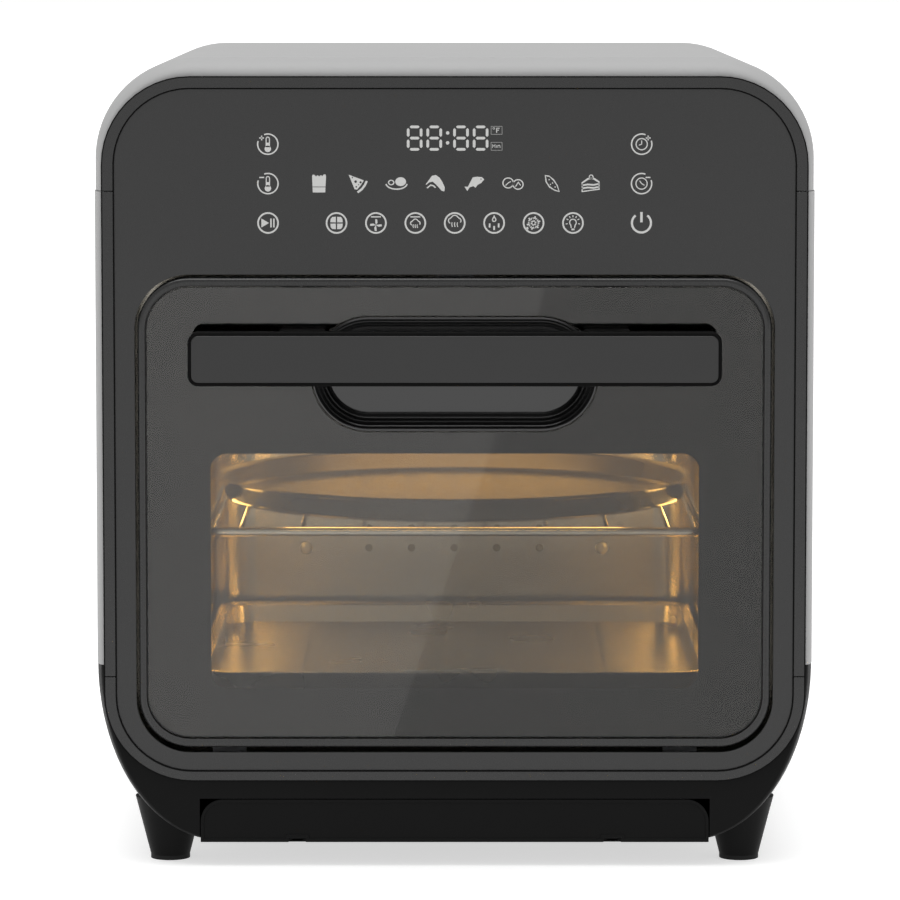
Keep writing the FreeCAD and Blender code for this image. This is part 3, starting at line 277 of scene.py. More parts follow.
class Finishes:
    """Every finish of the oven, built when first asked for."""

    SPECS = {
        "silver": Finish("silver_paint", (0.35, 0.35, 0.35), 0.48, tone=0.01, grain=2600.0,
                         bump_mm=0.001, specular=0.15, rough_spread=0.04),
        "hull": Finish("hull_plastic", (0.004, 0.004, 0.004), 0.50, grain=1800.0, bump_mm=0.006,
                       specular=0.09),
        # painted shade: a near-black, dull, almost unreflecting finish that stands in for shade and dark
        # reflections on the handle's edge and arms and along the seams
        "shadow": Finish("painted_shade_black", (0.002, 0.002, 0.002), 0.5, grain=1500.0, bump_mm=0.002,
                         specular=0.06),
        "trim": Finish("trim_plastic", (0.010, 0.010, 0.010), 0.30, grain=1500.0, bump_mm=0.002,
                       specular=0.50),
        "fascia": Finish("fascia_satin", (0.010, 0.010, 0.010), 0.32, grain=2400.0, bump_mm=0.002,
                         tone=0.03, specular=0.52),
        "frit": Finish("glass_frit", (0.004, 0.004, 0.004), 0.10, grain=800.0, bump_mm=0.0, tone=0.05,
                       rough_spread=0.01, specular=0.05),
        "handle": Finish("handle_satin", (0.010, 0.010, 0.010), 0.34, grain=2200.0, bump_mm=0.002,
                         specular=0.47),
        "recess": Finish("recess_gloss", (0.004, 0.004, 0.004), 0.16, grain=1500.0, bump_mm=0.0,
                         rough_spread=0.02, specular=0.68),
        "steel": Finish("cavity_steel", (0.60, 0.56, 0.48), 0.20, metallic=1.0, tone=0.03, grain=60.0,
                        bump_mm=0.0, stretch=(1.0, 9.0, 1.0), rough_spread=0.02),
        "plated": Finish("plated_steel", (0.50, 0.46, 0.38), 0.26, metallic=1.0, tone=0.02, grain=18.0,
                         bump_mm=0.0, rough_spread=0.02),
        "zinc": Finish("zinc_steel", (0.50, 0.50, 0.52), 0.36, metallic=1.0, tone=0.08, grain=600.0),
        "chrome": Finish("bright_wire", (0.78, 0.76, 0.72), 0.12, metallic=1.0, grain=700.0,
                         bump_mm=0.001, rough_spread=0.03),
        "pan": Finish("dark_enamel", (0.10, 0.085, 0.065), 0.26, metallic=0.6, tone=0.04, grain=1100.0,
                      bump_mm=0.0, rough_spread=0.02),
        "sheath": Finish("heater_sheath", (0.11, 0.09, 0.08), 0.48, metallic=0.7, tone=0.2, grain=500.0),
        "ceramic": Finish("white_ceramic", (0.78, 0.75, 0.70), 0.55, grain=900.0),
        "board": Finish("circuit_board", (0.02, 0.13, 0.05), 0.40, tone=0.15, grain=320.0),
        "rubber": Finish("black_rubber", (0.008, 0.008, 0.008), 0.62, grain=1400.0, bump_mm=0.01,
                         specular=0.2),
        "fibre": Finish("grey_fibre", (0.13, 0.13, 0.125), 0.9, tone=0.12, grain=260.0, bump_mm=0.4,
                        sheen=0.4),
        "alloy": Finish("fan_alloy", (0.63, 0.63, 0.64), 0.30, metallic=1.0, grain=420.0),
        "print": Finish("printed_grey", (0.52, 0.52, 0.51), 0.5, tone=0.02, grain=1500.0, bump_mm=0.001),
        "tint": GlassFinish("door_glass_tint", (0.50, 0.48, 0.445), ior=1.41),
        "clear": GlassFinish("clear_glass", (0.93, 0.93, 0.91)),
        "lamp": GlowFinish("lamp_glow", (1.0, 0.66, 0.30), 14.0),
    }

    def __init__(self) -> None:
        """Start with no material built."""
        self.made: dict[str, bpy.types.Material] = {}

    def get(self, key: str) -> bpy.types.Material:
        """Give the material of a finish.

        Args:
            key: the finish's key in SPECS.

        Returns:
            The material, the same one each time.
        """
        if key not in self.made:
            self.made[key] = self.SPECS[key].build()
        return self.made[key]


# --------------------------------------------------------------------------------------------
# Modelling tools
# --------------------------------------------------------------------------------------------


def clear_selection() -> None:
    """Leave edit mode and deselect every object."""
    if bpy.context.object and bpy.context.object.mode != "OBJECT":
        bpy.ops.object.mode_set(mode="OBJECT")
    bpy.ops.object.select_all(action="DESELECT")


def activate(piece: bpy.types.Object) -> None:
    """Select one object only and make it the active one.

    Args:
        piece: the object.
    """
    clear_selection()
    piece.select_set(True)
    bpy.context.view_layer.objects.active = piece


def apply_place(piece: bpy.types.Object) -> None:
    """Move an object's place, turn and size into its mesh."""
    activate(piece)
    bpy.ops.object.transform_apply(location=True, rotation=True, scale=True)


def modify(piece: bpy.types.Object, kind: str, **settings: object) -> None:
    """Add a modifier and apply it.

    Args:
        piece: the object.
        kind: the modifier's type name.
        **settings: the modifier's properties.
    """
    activate(piece)
    modifier = piece.modifiers.new(kind.title(), kind)
    for name, value in settings.items():
        setattr(modifier, name, value)
    bpy.ops.object.modifier_apply(modifier=modifier.name)


def soften(piece: bpy.types.Object, width: float, segments: int = 3, angle: float = BEVEL_ANGLE) -> None:
    """Bevel the sharp edges of a piece and shade it smooth.

    Args:
        piece: the object.
        width: the bevel's width in metres.
        segments: how many steps it has.
        angle: the least turn, in degrees, that counts as an edge.
    """
    smooth(piece)
    modify(piece, "BEVEL", width=width, segments=segments, limit_method="ANGLE",
           angle_limit=math.radians(angle), use_clamp_overlap=True, harden_normals=True)


def smooth(piece: bpy.types.Object, angle: float = SMOOTH_ANGLE) -> None:
    """Shade a piece smooth, with sharp edges above an angle in degrees."""
    activate(piece)
    bpy.ops.object.shade_smooth_by_angle(angle=math.radians(angle))


def edit(piece: bpy.types.Object, mode: str = "FACE") -> None:
    """Enter edit mode on a piece with nothing selected.

    Args:
        piece: the object.
        mode: VERT, EDGE or FACE.
    """
    activate(piece)
    bpy.ops.object.mode_set(mode="EDIT")
    bpy.ops.mesh.select_mode(type=mode)
    bpy.ops.mesh.select_all(action="DESELECT")


def leave_edit() -> None:
    """Go back to object mode."""
    bpy.ops.object.mode_set(mode="OBJECT")


def pick_faces(piece: bpy.types.Object, test: Callable[[Vector, Vector], bool]) -> None:
    """Select the faces whose centre and normal pass a test, in edit mode.

    Args:
        piece: the object in edit mode.
        test: a function of a face's centre and normal.
    """
    bpy.ops.object.mode_set(mode="OBJECT")
    for face in piece.data.polygons:
        face.select = test(face.center, face.normal)
    bpy.ops.object.mode_set(mode="EDIT")


def mend(piece: bpy.types.Object) -> None:
    """Merge doubled vertices and turn every face outwards.

    Args:
        piece: the object.
    """
    edit(piece, "VERT")
    bpy.ops.mesh.select_all(action="SELECT")
    bpy.ops.mesh.remove_doubles(threshold=WELD)
    bpy.ops.mesh.normals_make_consistent(inside=False)
    leave_edit()


def join(pieces: Sequence[bpy.types.Object], name: str) -> bpy.types.Object:
    """Join objects into one.

    Args:
        pieces: the objects.
        name: the joined object's name.

    Returns:
        The joined object.
    """
    activate(pieces[0])
    for piece in pieces[1:]:
        piece.select_set(True)
    if len(pieces) > 1:
        bpy.ops.object.join()
    joined = bpy.context.view_layer.objects.active
    joined.name = joined.data.name = name
    return joined


@dataclass(frozen=True)
class Outline:
    """A round-cornered rectangle in the XZ plane, in metres."""

    left: float
    right: float
    low: float
    high: float
    radius: float
    steps: int = 12

    def grown(self, by: float) -> "Outline":
        """Give the outline moved outwards all round, its corner radius with it."""
        return Outline(self.left - by, self.right + by, self.low - by, self.high + by,
                       max(self.radius + by, 0.0), self.steps)


def box_outline(node: str, radius: float, inset: float = 0.0) -> Outline:
    """Give the outline of a CAD node's box.

    Args:
        node: the node's name.
        radius: the corner radius in metres.
        inset: how far inside the box the outline lies.

    Returns:
        The outline.
    """
    low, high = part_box(node)
    return Outline(low.x + inset, high.x - inset, low.z + inset, high.z - inset, radius)


def block(name: str, low: Vector, high: Vector) -> bpy.types.Object:
    """Add a box between two corners, as a start for edit-mode work.

    Args:
        name: the piece's name.
        low: its lowest corner.
        high: its highest corner.

    Returns:
        The new object.
    """
    clear_selection()
    bpy.ops.mesh.primitive_cube_add(size=1.0, location=(low + high) / 2)
    piece = bpy.context.active_object
    piece.name = piece.data.name = name
    piece.scale = high - low
    apply_place(piece)
    return piece


def round_corners(piece: bpy.types.Object, axis: int, radius: float, steps: int) -> None:
    """Round the edges of a box that run along one axis.

    Args:
        piece: the box.
        axis: 0, 1 or 2 for X, Y or Z.
        radius: the corner radius in metres.
        steps: how many segments each corner has.
    """
    edit(piece, "EDGE")
    bpy.ops.object.mode_set(mode="OBJECT")
    mesh = piece.data
    for edge in mesh.edges:
        span = mesh.vertices[edge.vertices[1]].co - mesh.vertices[edge.vertices[0]].co
        edge.select = abs(span[axis]) > ALIGNED * span.length
    bpy.ops.object.mode_set(mode="EDIT")
    bpy.ops.mesh.bevel(offset=radius, segments=steps, affect="EDGES", clamp_overlap=True)
    leave_edit()


def plate_piece(name: str, outline: Outline, front: float, back: float) -> bpy.types.Object:
    """Make a solid plate.

    Args:
        name: the piece's name.
        outline: its outline.
        front: the depth of its front face in metres.
        back: the depth of its rear face.

    Returns:
        The new object.
    """
    piece = block(name, Vector((outline.left, front, outline.low)),
                  Vector((outline.right, back, outline.high)))
    if outline.radius > 0:
        round_corners(piece, 1, outline.radius, outline.steps)
    return piece


def loop_points(outline: Outline, depth: float) -> list[tuple[float, float, float]]:
    """List the points of an outline, anticlockwise from the right.

    Args:
        outline: the outline.
        depth: where it stands along Y in metres.

    Returns:
        The points.
    """
    points = []
    for number, (right, up) in enumerate(((1, 1), (0, 1), (0, 0), (1, 0))):
        middle = (outline.right - outline.radius if right else outline.left + outline.radius,
                  outline.high - outline.radius if up else outline.low + outline.radius)
        for step in range(outline.steps + 1):
            x, z = on_circle(outline.radius, 90.0 * (number + step / outline.steps), middle)
            points.append((x, depth, z))
    return points


def loft(name: str, loops: Sequence[tuple[Outline, float]]) -> bpy.types.Object:
    """Bridge outlines one after the other and close both ends.

    Args:
        name: the piece's name.
        loops: outlines with the same number of steps, each with its depth.

    Returns:
        The new object.
    """
    rows = [loop_points(outline, depth) for outline, depth in loops]
    count = len(rows[0])
    edges = [(start + index, start + (index + 1) % count)
             for start in range(0, count * len(rows), count) for index in range(count)]
    mesh = bpy.data.meshes.new(name)
    mesh.from_pydata([point for row in rows for point in row], edges, [])
    piece = bpy.data.objects.new(name, mesh)
    bpy.context.collection.objects.link(piece)
    for row in range(len(rows) - 1):
        pick_loops(piece, range(row * count, (row + 2) * count))
        bpy.ops.mesh.bridge_edge_loops()
    for row in (0, len(rows) - 1):
        pick_loops(piece, range(row * count, (row + 1) * count))
        bpy.ops.mesh.edge_face_add()
    leave_edit()
    mend(piece)
    return piece


def pick_loops(piece: bpy.types.Object, chosen: Iterable[int]) -> None:
    """Enter edit mode with the edges whose two points are both chosen.

    Args:
        piece: the object.
        chosen: the numbers of its points.
    """
    edit(piece, "EDGE")
    bpy.ops.object.mode_set(mode="OBJECT")
    inside = set(chosen)
    for edge in piece.data.edges:
        edge.select = set(edge.vertices) <= inside
    bpy.ops.object.mode_set(mode="EDIT")


def carve(piece: bpy.types.Object, *cutters: bpy.types.Object) -> None:
    """Cut other objects out of a piece and delete them.

    Args:
        piece: the object that is cut.
        *cutters: the objects that cut it.
    """
    for cutter in cutters:
        modify(piece, "BOOLEAN", operation="DIFFERENCE", object=cutter, solver="EXACT")
        bpy.data.objects.remove(cutter, do_unlink=True)


def ring_piece(name: str, outer: Outline, inner: Outline, front: float, back: float) -> bpy.types.Object:
    """Make a flat frame.

    Args:
        name: the piece's name.
        outer: its outer outline.
        inner: the outline of its opening.
        front: the depth of its front face in metres.
        back: the depth of its rear face.

    Returns:
        The new object.
    """
    piece = plate_piece(name, outer, front, back)
    carve(piece, plate_piece("cutter", inner, front - CUT_PAST, back + CUT_PAST))
    return piece


def step_face(piece: bpy.types.Object, test: Callable[[Vector, Vector], bool], inset: float,
              push: Vector) -> None:
    """Inset the chosen face and push the new face, as for a groove, a rim or a pocket.

    Args:
        piece: the object.
        test: picks the face by its centre and normal.
        inset: how far inside its edge the new face lies.
        push: how far the new face then moves.
    """
    edit(piece)
    pick_faces(piece, test)
    bpy.ops.mesh.inset(thickness=inset, depth=0.0, use_even_offset=True)
    bpy.ops.mesh.extrude_region_move(TRANSFORM_OT_translate={"value": push})
    leave_edit()


def copied_node(name: str, *nodes: str) -> bpy.types.Object:
    """Copy CAD nodes into one merged mesh that can be edited.

    Args:
        name: the new piece's name.
        *nodes: the CAD nodes to copy.

    Returns:
        The new object.
    """
    copies = []
    for node in nodes:
        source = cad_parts[node]
        copy = bpy.data.objects.new(name, source.data.copy())
        bpy.context.collection.objects.link(copy)
        copies.append(copy)
    piece = join(copies, name)
    piece.data.materials.clear()
    if piece.data.has_custom_normals:
        activate(piece)
        bpy.ops.mesh.customdata_custom_splitnormals_clear()
    edit(piece, "VERT")
    bpy.ops.mesh.select_all(action="SELECT")
    bpy.ops.mesh.remove_doubles(threshold=2e-6)
    bpy.ops.mesh.dissolve_limited(angle_limit=math.radians(0.4))
    leave_edit()
    return piece


def lathe(name: str, profile: Sequence[Point2], centre: Vector, axis: Vector,
          steps: int = 48) -> bpy.types.Object:
    """Spin a profile of radius and height about an axis into a closed solid.

    Args:
        name: the piece's name.
        profile: radius and height pairs in metres, from one end of the axis to the other.
        centre: the point where height is zero.
        axis: the direction in which height grows.
        steps: how many steps the turn has.

    Returns:
        The new object.
    """
    mesh = bpy.data.meshes.new(name)
    mesh.from_pydata([(radius, 0.0, height) for radius, height in profile],
                     [(index, index + 1) for index in range(len(profile) - 1)], [])
    piece = bpy.data.objects.new(name, mesh)
    bpy.context.collection.objects.link(piece)
    edit(piece, "VERT")
    bpy.ops.mesh.select_all(action="SELECT")
    bpy.ops.mesh.spin(steps=steps, angle=math.tau, center=(0.0, 0.0, 0.0), axis=(0.0, 0.0, 1.0))
    leave_edit()
    mend(piece)
    turn = Vector((0.0, 0.0, 1.0)).rotation_difference(axis).to_matrix().to_4x4()
    piece.matrix_world = Matrix.Translation(centre) @ turn
    apply_place(piece)
    return piece


def on_circle(radius: float, degrees: float, centre: Point2 = (0.0, 0.0)) -> Point2:
    """Give the point of a circle at an angle measured from the right, anticlockwise."""
    turn = math.radians(degrees)
    return centre[0] + radius * math.cos(turn), centre[1] + radius * math.sin(turn)


def facing(direction: Sequence[float]) -> Callable[[Vector, Vector], bool]:
    """Make a test that picks flat faces by the way they look.

    Args:
        direction: the way that the face looks.

    Returns:
        The test.
    """
    wanted = Vector(direction)

    def test(_: Vector, normal: Vector) -> bool:
        """Say whether a face is one of those."""
        return normal.dot(wanted) > ALIGNED
    return test


def sink_face(piece: bpy.types.Object, test: Callable[[Vector, Vector], bool],
              steps: Sequence[tuple[float, float]]) -> None:
    """Shape a pocket or a boss from one face by repeated insets.

    Args:
        piece: the object.
        test: picks the face.
        steps: pairs of inset and outward travel in millimetres; a travel below zero goes inwards.
    """
    edit(piece)
    pick_faces(piece, test)
    for inset, travel in steps:
        bpy.ops.mesh.inset(thickness=inset * MM, depth=travel * MM, use_even_offset=True)
    leave_edit()


def finish_piece(piece: bpy.types.Object, material: bpy.types.Material, body: str, slot: str,
                 *nodes: str) -> bpy.types.Object:
    """Dress a finished piece and tell the frame where it belongs.

    Args:
        piece: the object.
        material: its material.
        body: the CAD body that it rides on.
        slot: the record's material slot; not used.
        *nodes: the CAD nodes that it stands for.

    Returns:
        The same object.
    """
    piece.data.materials.clear()
    piece.data.materials.append(material)
    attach(piece, body)
    if nodes:
        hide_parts(*nodes)
    LOG.info("made %s on %s", piece.name, body)
    return piece


# --------------------------------------------------------------------------------------------
# Studio
# --------------------------------------------------------------------------------------------


@dataclass
class Studio:
    """A white sweep, even light all round and a long lens level with the oven's top."""

    camera_at: tuple[float, float, float] = (-0.0022, -2.4286, 0.4356)
    camera_pitch: float = 5.15
    lens: float = 195.94
    shift: float = -0.08
    floor_size: float = 60.0
    world_light: float = 0.62
    sun_strength: float = 2.4
    floor_glow: float = 0.62
    sensor: float = 36.0
    floor_tone: float = 0.55
    sun_width: float = 50.0
    sun_tilt: Point2 = (4.0, -2.0)
    sheen_radiance: float = 0.42
    sheen_size: Point2 = (0.40, 0.60)
    sheen_turn: float = 18.6
    sheen_across: float = -0.1817
    sheen_gap: float = 0.14
    sheen_up: float = 0.2155

    def build(self) -> None:
        """Make the camera, the floor, the world and the lamps."""
        self.make_camera()
        self.make_floor()
        self.make_world()
        self.make_lights()

    def make_camera(self) -> None:
        """Make the scene's camera."""
        data = bpy.data.cameras.new("camera")
        data.lens, data.sensor_width, data.shift_y = self.lens, self.sensor, self.shift
        data.clip_start, data.clip_end = 0.05, 200.0
        camera = bpy.data.objects.new("camera", data)
        camera.location = self.camera_at
        camera.rotation_euler = (math.radians(90.0 - self.camera_pitch), 0.0, 0.0)
        bpy.context.collection.objects.link(camera)
        bpy.context.scene.camera = camera

    def make_floor(self) -> None:
        """Make the pale floor."""
        clear_selection()
        bpy.ops.mesh.primitive_plane_add(size=self.floor_size, location=(0.0, 0.0, 0.0))
        floor = bpy.context.active_object
        floor.name = "floor"
        tone = self.floor_tone
        white = Finish("floor_white", (tone, tone, tone), 0.55, tone=0.0, bump_mm=0.0, specular=0.1).build()
        shader = next(node for node in white.node_tree.nodes if node.type == "BSDF_PRINCIPLED")
        shader.inputs["Emission Color"].default_value = (1.0, 1.0, 1.0, 1.0)
        shader.inputs["Emission Strength"].default_value = self.floor_glow
        floor.data.materials.append(white)

    def make_world(self) -> None:
        """Light everything evenly from a white surround."""
        world = bpy.data.worlds.new("white_surround")
        bpy.context.scene.world = world
        world.use_nodes = True
        graph = world.node_tree
        graph.nodes.clear()
        path = graph.nodes.new("ShaderNodeLightPath")
        blend = graph.nodes.new("ShaderNodeMixShader")
        output = graph.nodes.new("ShaderNodeOutputWorld")
        graph.links.new(path.outputs["Is Camera Ray"], blend.inputs[0])
        for slot, strength in ((1, self.world_light), (2, 1.0)):
            background = graph.nodes.new("ShaderNodeBackground")
            background.inputs["Color"].default_value = (1.0, 1.0, 1.0, 1.0)
            background.inputs["Strength"].default_value = strength
            graph.links.new(background.outputs[0], blend.inputs[slot])
        graph.links.new(blend.outputs[0], output.inputs["Surface"])
        bpy.context.scene.view_settings.view_transform = "Standard"

    def make_lights(self) -> None:
        """Add a broad soft sun almost straight overhead."""
        data = bpy.data.lights.new("soft_sun", "SUN")
        data.energy, data.angle = self.sun_strength, math.radians(self.sun_width)
        sun = bpy.data.objects.new("soft_sun", data)
        sun.rotation_euler = (*map(math.radians, self.sun_tilt), 0.0)
        bpy.context.collection.objects.link(sun)

    def add_sheen(self, glass: bpy.types.Object) -> None:
        """Put a pale panel before the door that only its glass mirrors, as a soft diagonal.

        Args:
            glass: the outer glass of the door.
        """
        width, height = self.sheen_size
        data = bpy.data.lights.new("door_sheen", "AREA")
        data.shape, data.size, data.size_y = "RECTANGLE", width, height
        data.energy = self.sheen_radiance * math.pi * width * height
        light = bpy.data.objects.new("door_sheen", data)
        turn = math.radians(self.sheen_turn)
        across = Vector((math.cos(turn), 0.0, -math.sin(turn)))
        up = Vector((math.sin(turn), 0.0, math.cos(turn)))
        back = across.cross(up)
        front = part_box("door_glass_outer")[0].y
        place = Vector((self.sheen_across, front - self.sheen_gap, self.sheen_up))
        light.matrix_world = Matrix.Translation(place) @ Matrix((across, up, back)).transposed().to_4x4()
        light.visible_camera = False
        light.visible_diffuse = False
        bpy.context.collection.objects.link(light)
        receivers = bpy.data.collections.new("door_sheen_receivers")
        receivers.objects.link(glass)
        light.light_linking.receiver_collection = receivers


# --------------------------------------------------------------------------------------------
# Printed control panel
# --------------------------------------------------------------------------------------------


def ribbon(points: Sequence[Point2], width: float) -> list[Point2]:
    """Outline a line of even width.

    Args:
        points: the line's points.
        width: its width.

    Returns:
        The closed outline, down one side and back along the other.
    """
    left, right = [], []
    for index, point in enumerate(points):
        before = Vector(points[max(index - 1, 0)])
        after = Vector(points[min(index + 1, len(points) - 1)])
        here = Vector(point)
        along = (here - before).normalized() + (after - here).normalized()
        along.normalize()
        side = Vector((-along.y, along.x))
        inner = (after - here) if index < len(points) - 1 else (here - before)
        lean = max(0.5, abs(side.dot(Vector((-inner.normalized().y, inner.normalized().x)))))
        offset = side * (width / 2 / lean)
        left.append(tuple(here + offset))
        right.append(tuple(here - offset))
    return left + right[::-1]


@dataclass
class Pen:
    """Draws flat printed marks on a face that looks forward, in millimetres about a moving origin."""

    face: float
    ink: float = 0.04
    steps: int = 40
    origin: Point2 = (0.0, 0.0)
    marks: list[bpy.types.Object] = field(default_factory=list)

    def fill(self, *loops: Sequence[Point2]) -> None:
        """Print one closed shape.

        Args:
            *loops: its outline, and then any holes in it.
        """
        curve = bpy.data.curves.new("mark", "CURVE")
        curve.dimensions, curve.fill_mode, curve.extrude = "2D", "BOTH", self.ink * MM
        for loop in loops:
            spline = curve.splines.new("POLY")
            spline.points.add(len(loop) - 1)
            spline.use_cyclic_u = True
            for point, (across, up) in zip(spline.points, loop):
                point.co = ((self.origin[0] + across) * MM, (self.origin[1] + up) * MM, 0.0, 1.0)
        mark = bpy.data.objects.new("mark", curve)
        mark.location = (0.0, self.face - self.ink * MM, 0.0)
        mark.rotation_euler = (math.pi / 2, 0.0, 0.0)
        bpy.context.collection.objects.link(mark)
        self.marks.append(mark)

    def circle(self, radius: float, centre: Point2 = (0.0, 0.0), tall: float = 1.0) -> list[Point2]:
        """Give the points of a circle or an ellipse.

        Args:
            radius: half its width.
            centre: its middle.
            tall: its height as a share of its width.

        Returns:
            The points.
        """
        turns = [math.tau * step / self.steps for step in range(self.steps)]
        return [(centre[0] + radius * math.cos(turn), centre[1] + tall * radius * math.sin(turn))
                for turn in turns]

    def disc(self, radius: float, centre: Point2 = (0.0, 0.0), tall: float = 1.0) -> None:
        """Print a filled circle or ellipse."""
        self.fill(self.circle(radius, centre, tall))

    def ring(self, radius: float, width: float, centre: Point2 = (0.0, 0.0), tall: float = 1.0) -> None:
        """Print a circle or ellipse as a line, radius being its outside."""
        self.fill(self.circle(radius, centre, tall), self.circle(radius - width, centre, tall))

    def arc(self, radius: float, width: float, start: float, end: float) -> None:
        """Print part of a circle as a line.

        Args:
            radius: its outside radius.
            width: the line's width.
            start: the angle that it starts at, in degrees.
            end: the angle that it ends at.
        """
        turns = [start + (end - start) * step / self.steps for step in range(self.steps + 1)]
        self.line([on_circle(radius - width / 2, turn) for turn in turns], width)

    def line(self, points: Sequence[Point2], width: float) -> None:
        """Print a line through points."""
        self.fill(ribbon(points, width))

    def loop(self, points: Sequence[Point2], width: float) -> None:
        """Print the outline of a closed shape, drawn inside it.

        Args:
            points: the shape's points, four or more.
            width: the line's width.
        """
        count = len(points)
        centre = Vector((sum(p[0] for p in points) / count, sum(p[1] for p in points) / count))
        inner = []
        for point in points:
            towards = centre - Vector(point)
            inner.append(tuple(Vector(point) + towards.normalized() * width * 1.15))
        self.fill(points, inner)

    def finish(self, name: str) -> bpy.types.Object:
        """Turn the marks into one mesh piece.

        Args:
            name: the piece's name.

        Returns:
            The new object.
        """
        clear_selection()
        for mark in self.marks:
            mark.select_set(True)
        bpy.context.view_layer.objects.active = self.marks[0]
        bpy.ops.object.convert(target="MESH")
        meshes = [thing for thing in bpy.context.selected_objects if thing.type == "MESH"]
        piece = join(meshes, name)
        apply_place(piece)
        mend(piece)
        return piece


class Control(Enum):
    """The touch controls at the two ends of the panel, from the top down."""

    WARMER = "warmer"
    COOLER = "cooler"
    START = "start"
    LONGER = "longer"
    SHORTER = "shorter"
    POWER = "power"


@dataclass
class ControlPanel:
    """The fascia's display digits and printed symbols, in millimetres from the fascia's top."""

    side_across: float = 86.7
    first_drop: float = 25.6
    row_pitch: float = 18.3
    display_drop: float = 22.8
    food_pitch: float = 18.0
    program_pitch: float = 18.3
    ring_radius: float = 5.02
    ring_line: float = 0.78
    digit_places: tuple[float, ...] = (-18.6, -9.5, 2.9, 12.0)
    digit_half: float = 3.0
    digit_reach: float = 5.2
    segment: float = 1.25
    pen: Pen = field(init=False)
    top: float = field(init=False)

    def build(self, finishes: Finishes) -> None:
        """Print the whole panel on the fascia.

        Args:
            finishes: the oven's finishes.
        """
        low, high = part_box("front_fascia")
        self.pen = Pen(face=low.y)
        self.top = high.z / MM
        self.draw_display()
        ends = ((Control.WARMER, Control.LONGER), (Control.COOLER, Control.SHORTER),
                (Control.START, Control.POWER))
        for row, (left, right) in enumerate(ends):
            self.draw_control(left, -self.side_across, row)
            self.draw_control(right, self.side_across, row)
        foods = (self.fries, self.pizza, self.steak, self.wings, self.fish, self.rolls, self.potato,
                 self.cake)
        for index, draw in enumerate(foods):
            self.move_to((index - 3.5) * self.food_pitch, 1)
            draw()
        programs = (self.toast, self.fan, self.low_steam, self.steam, self.drip, self.defrost, self.bulb)
        for index, draw in enumerate(programs):
            self.move_to((index - 3) * self.program_pitch, 2)
            self.pen.ring(self.ring_radius, self.ring_line)
            draw()
        piece = self.pen.finish("panel_prints")
        finish_piece(piece, finishes.get("print"), "casing", "silver_paint")

    def move_to(self, across: float, row: int) -> None:
        """Put the pen's origin at a place in one of the three rows."""
        self.pen.origin = (across, self.top - self.first_drop - row * self.row_pitch)

    def draw_display(self) -> None:
        """Print four seven-segment digits, a colon and two unit boxes."""
        reach, half, wide = self.digit_reach, self.digit_half, self.segment
        for across in self.digit_places:
            self.pen.origin = (across, self.top - self.display_drop)
            for level in (-reach, 0.0, reach):
                self.bar(0.0, level, half - wide * 0.55, wide, flat=True)
            for side in (-half, half):
                for level in (-reach / 2, reach / 2):
                    self.bar(side, level, reach / 2 - wide * 0.45, wide, flat=False)
        middle = (self.digit_places[1] + self.digit_places[2]) / 2
        self.pen.origin = (middle, self.top - self.display_drop)
        for level in (-2.2, 2.4):
            self.pen.disc(0.8, (0.0, level))
        self.draw_units()

    def bar(self, across: float, up: float, half: float, wide: float, flat: bool) -> None:
        """Print one display segment with cut ends.

        Args:
            across: its middle's place across the digit.
            up: its middle's place up the digit.
            half: half its length.
            wide: its width.
            flat: whether it lies or stands.
        """
        tip = wide / 2
        shape = [(-half, 0.0), (-half + tip, tip), (half - tip, tip), (half, 0.0), (half - tip, -tip),
                 (-half + tip, -tip)]
        self.pen.fill([(across + x, up + z) if flat else (across + z, up + x) for x, z in shape])

    def draw_units(self) -> None:
        """Print a degree sign with an F and three short strokes for minutes, each in a thin box."""
        across = self.digit_places[3] + 7.4
        for rise, minutes in ((3.6, False), (-3.8, True)):
            self.pen.origin = (across, self.top - self.display_drop + rise)
            self.pen.fill([(-2.6, -1.9), (2.6, -1.9), (2.6, 1.9), (-2.6, 1.9)],
                          [(-2.48, -1.78), (2.48, -1.78), (2.48, 1.78), (-2.48, 1.78)])
            if minutes:
                self.pen.line([(-1.9, -0.7), (-1.9, 0.8), (-1.3, 0.0), (-0.7, 0.8), (-0.7, -0.7)], 0.26)
                self.pen.line([(0.0, -0.7), (0.0, 0.5)], 0.26)
                self.pen.line([(0.6, -0.7), (0.6, 0.4), (1.3, 0.5), (1.6, 0.1), (1.6, -0.7)], 0.26)
            else:
                self.pen.ring(0.5, 0.2, (-1.3, 0.9))
                self.pen.line([(0.0, -1.1), (0.0, 1.1)], 0.4)
                self.pen.line([(0.0, 1.0), (1.4, 1.0)], 0.36)
                self.pen.line([(0.0, 0.1), (1.1, 0.1)], 0.34)

    def draw_control(self, control: Control, across: float, row: int) -> None:
        """Print one end control.

        Args:
            control: which one.
            across: its place across the panel.
            row: its row.
        """
        self.move_to(across, row)
        pen, radius = self.pen, self.ring_radius
        if control in (Control.WARMER, Control.COOLER):
            pen.arc(radius, 0.62, 162.0, 471.0)
            self.sign((-2.85, 2.85), control is Control.WARMER)
            self.thermometer()
        elif control in (Control.LONGER, Control.SHORTER):
            pen.arc(radius, 0.62, 68.0, 380.0)
            self.sign((3.0, 2.85), control is Control.LONGER)
            pen.ring(2.85, 0.5)
            hand = (0.0, 1.7) if control is Control.LONGER else (-0.9, 1.3)
            pen.line([hand, (0.0, 0.0), (-1.3, -0.5) if control is Control.LONGER else (1.4, -0.8)], 0.42)
        elif control is Control.START:
            pen.ring(radius, self.ring_line)
            pen.fill([(-3.1, 2.1), (0.45, 0.0), (-3.1, -2.1)])
            for middle in (1.35, 2.7):
                pen.line([(middle, -2.05), (middle, 2.05)], 0.68)
        else:
            pen.arc(radius - 0.1, 1.0, 128.0, 412.0)
            pen.line([(0.0, 0.3), (0.0, 5.1)], 1.15)

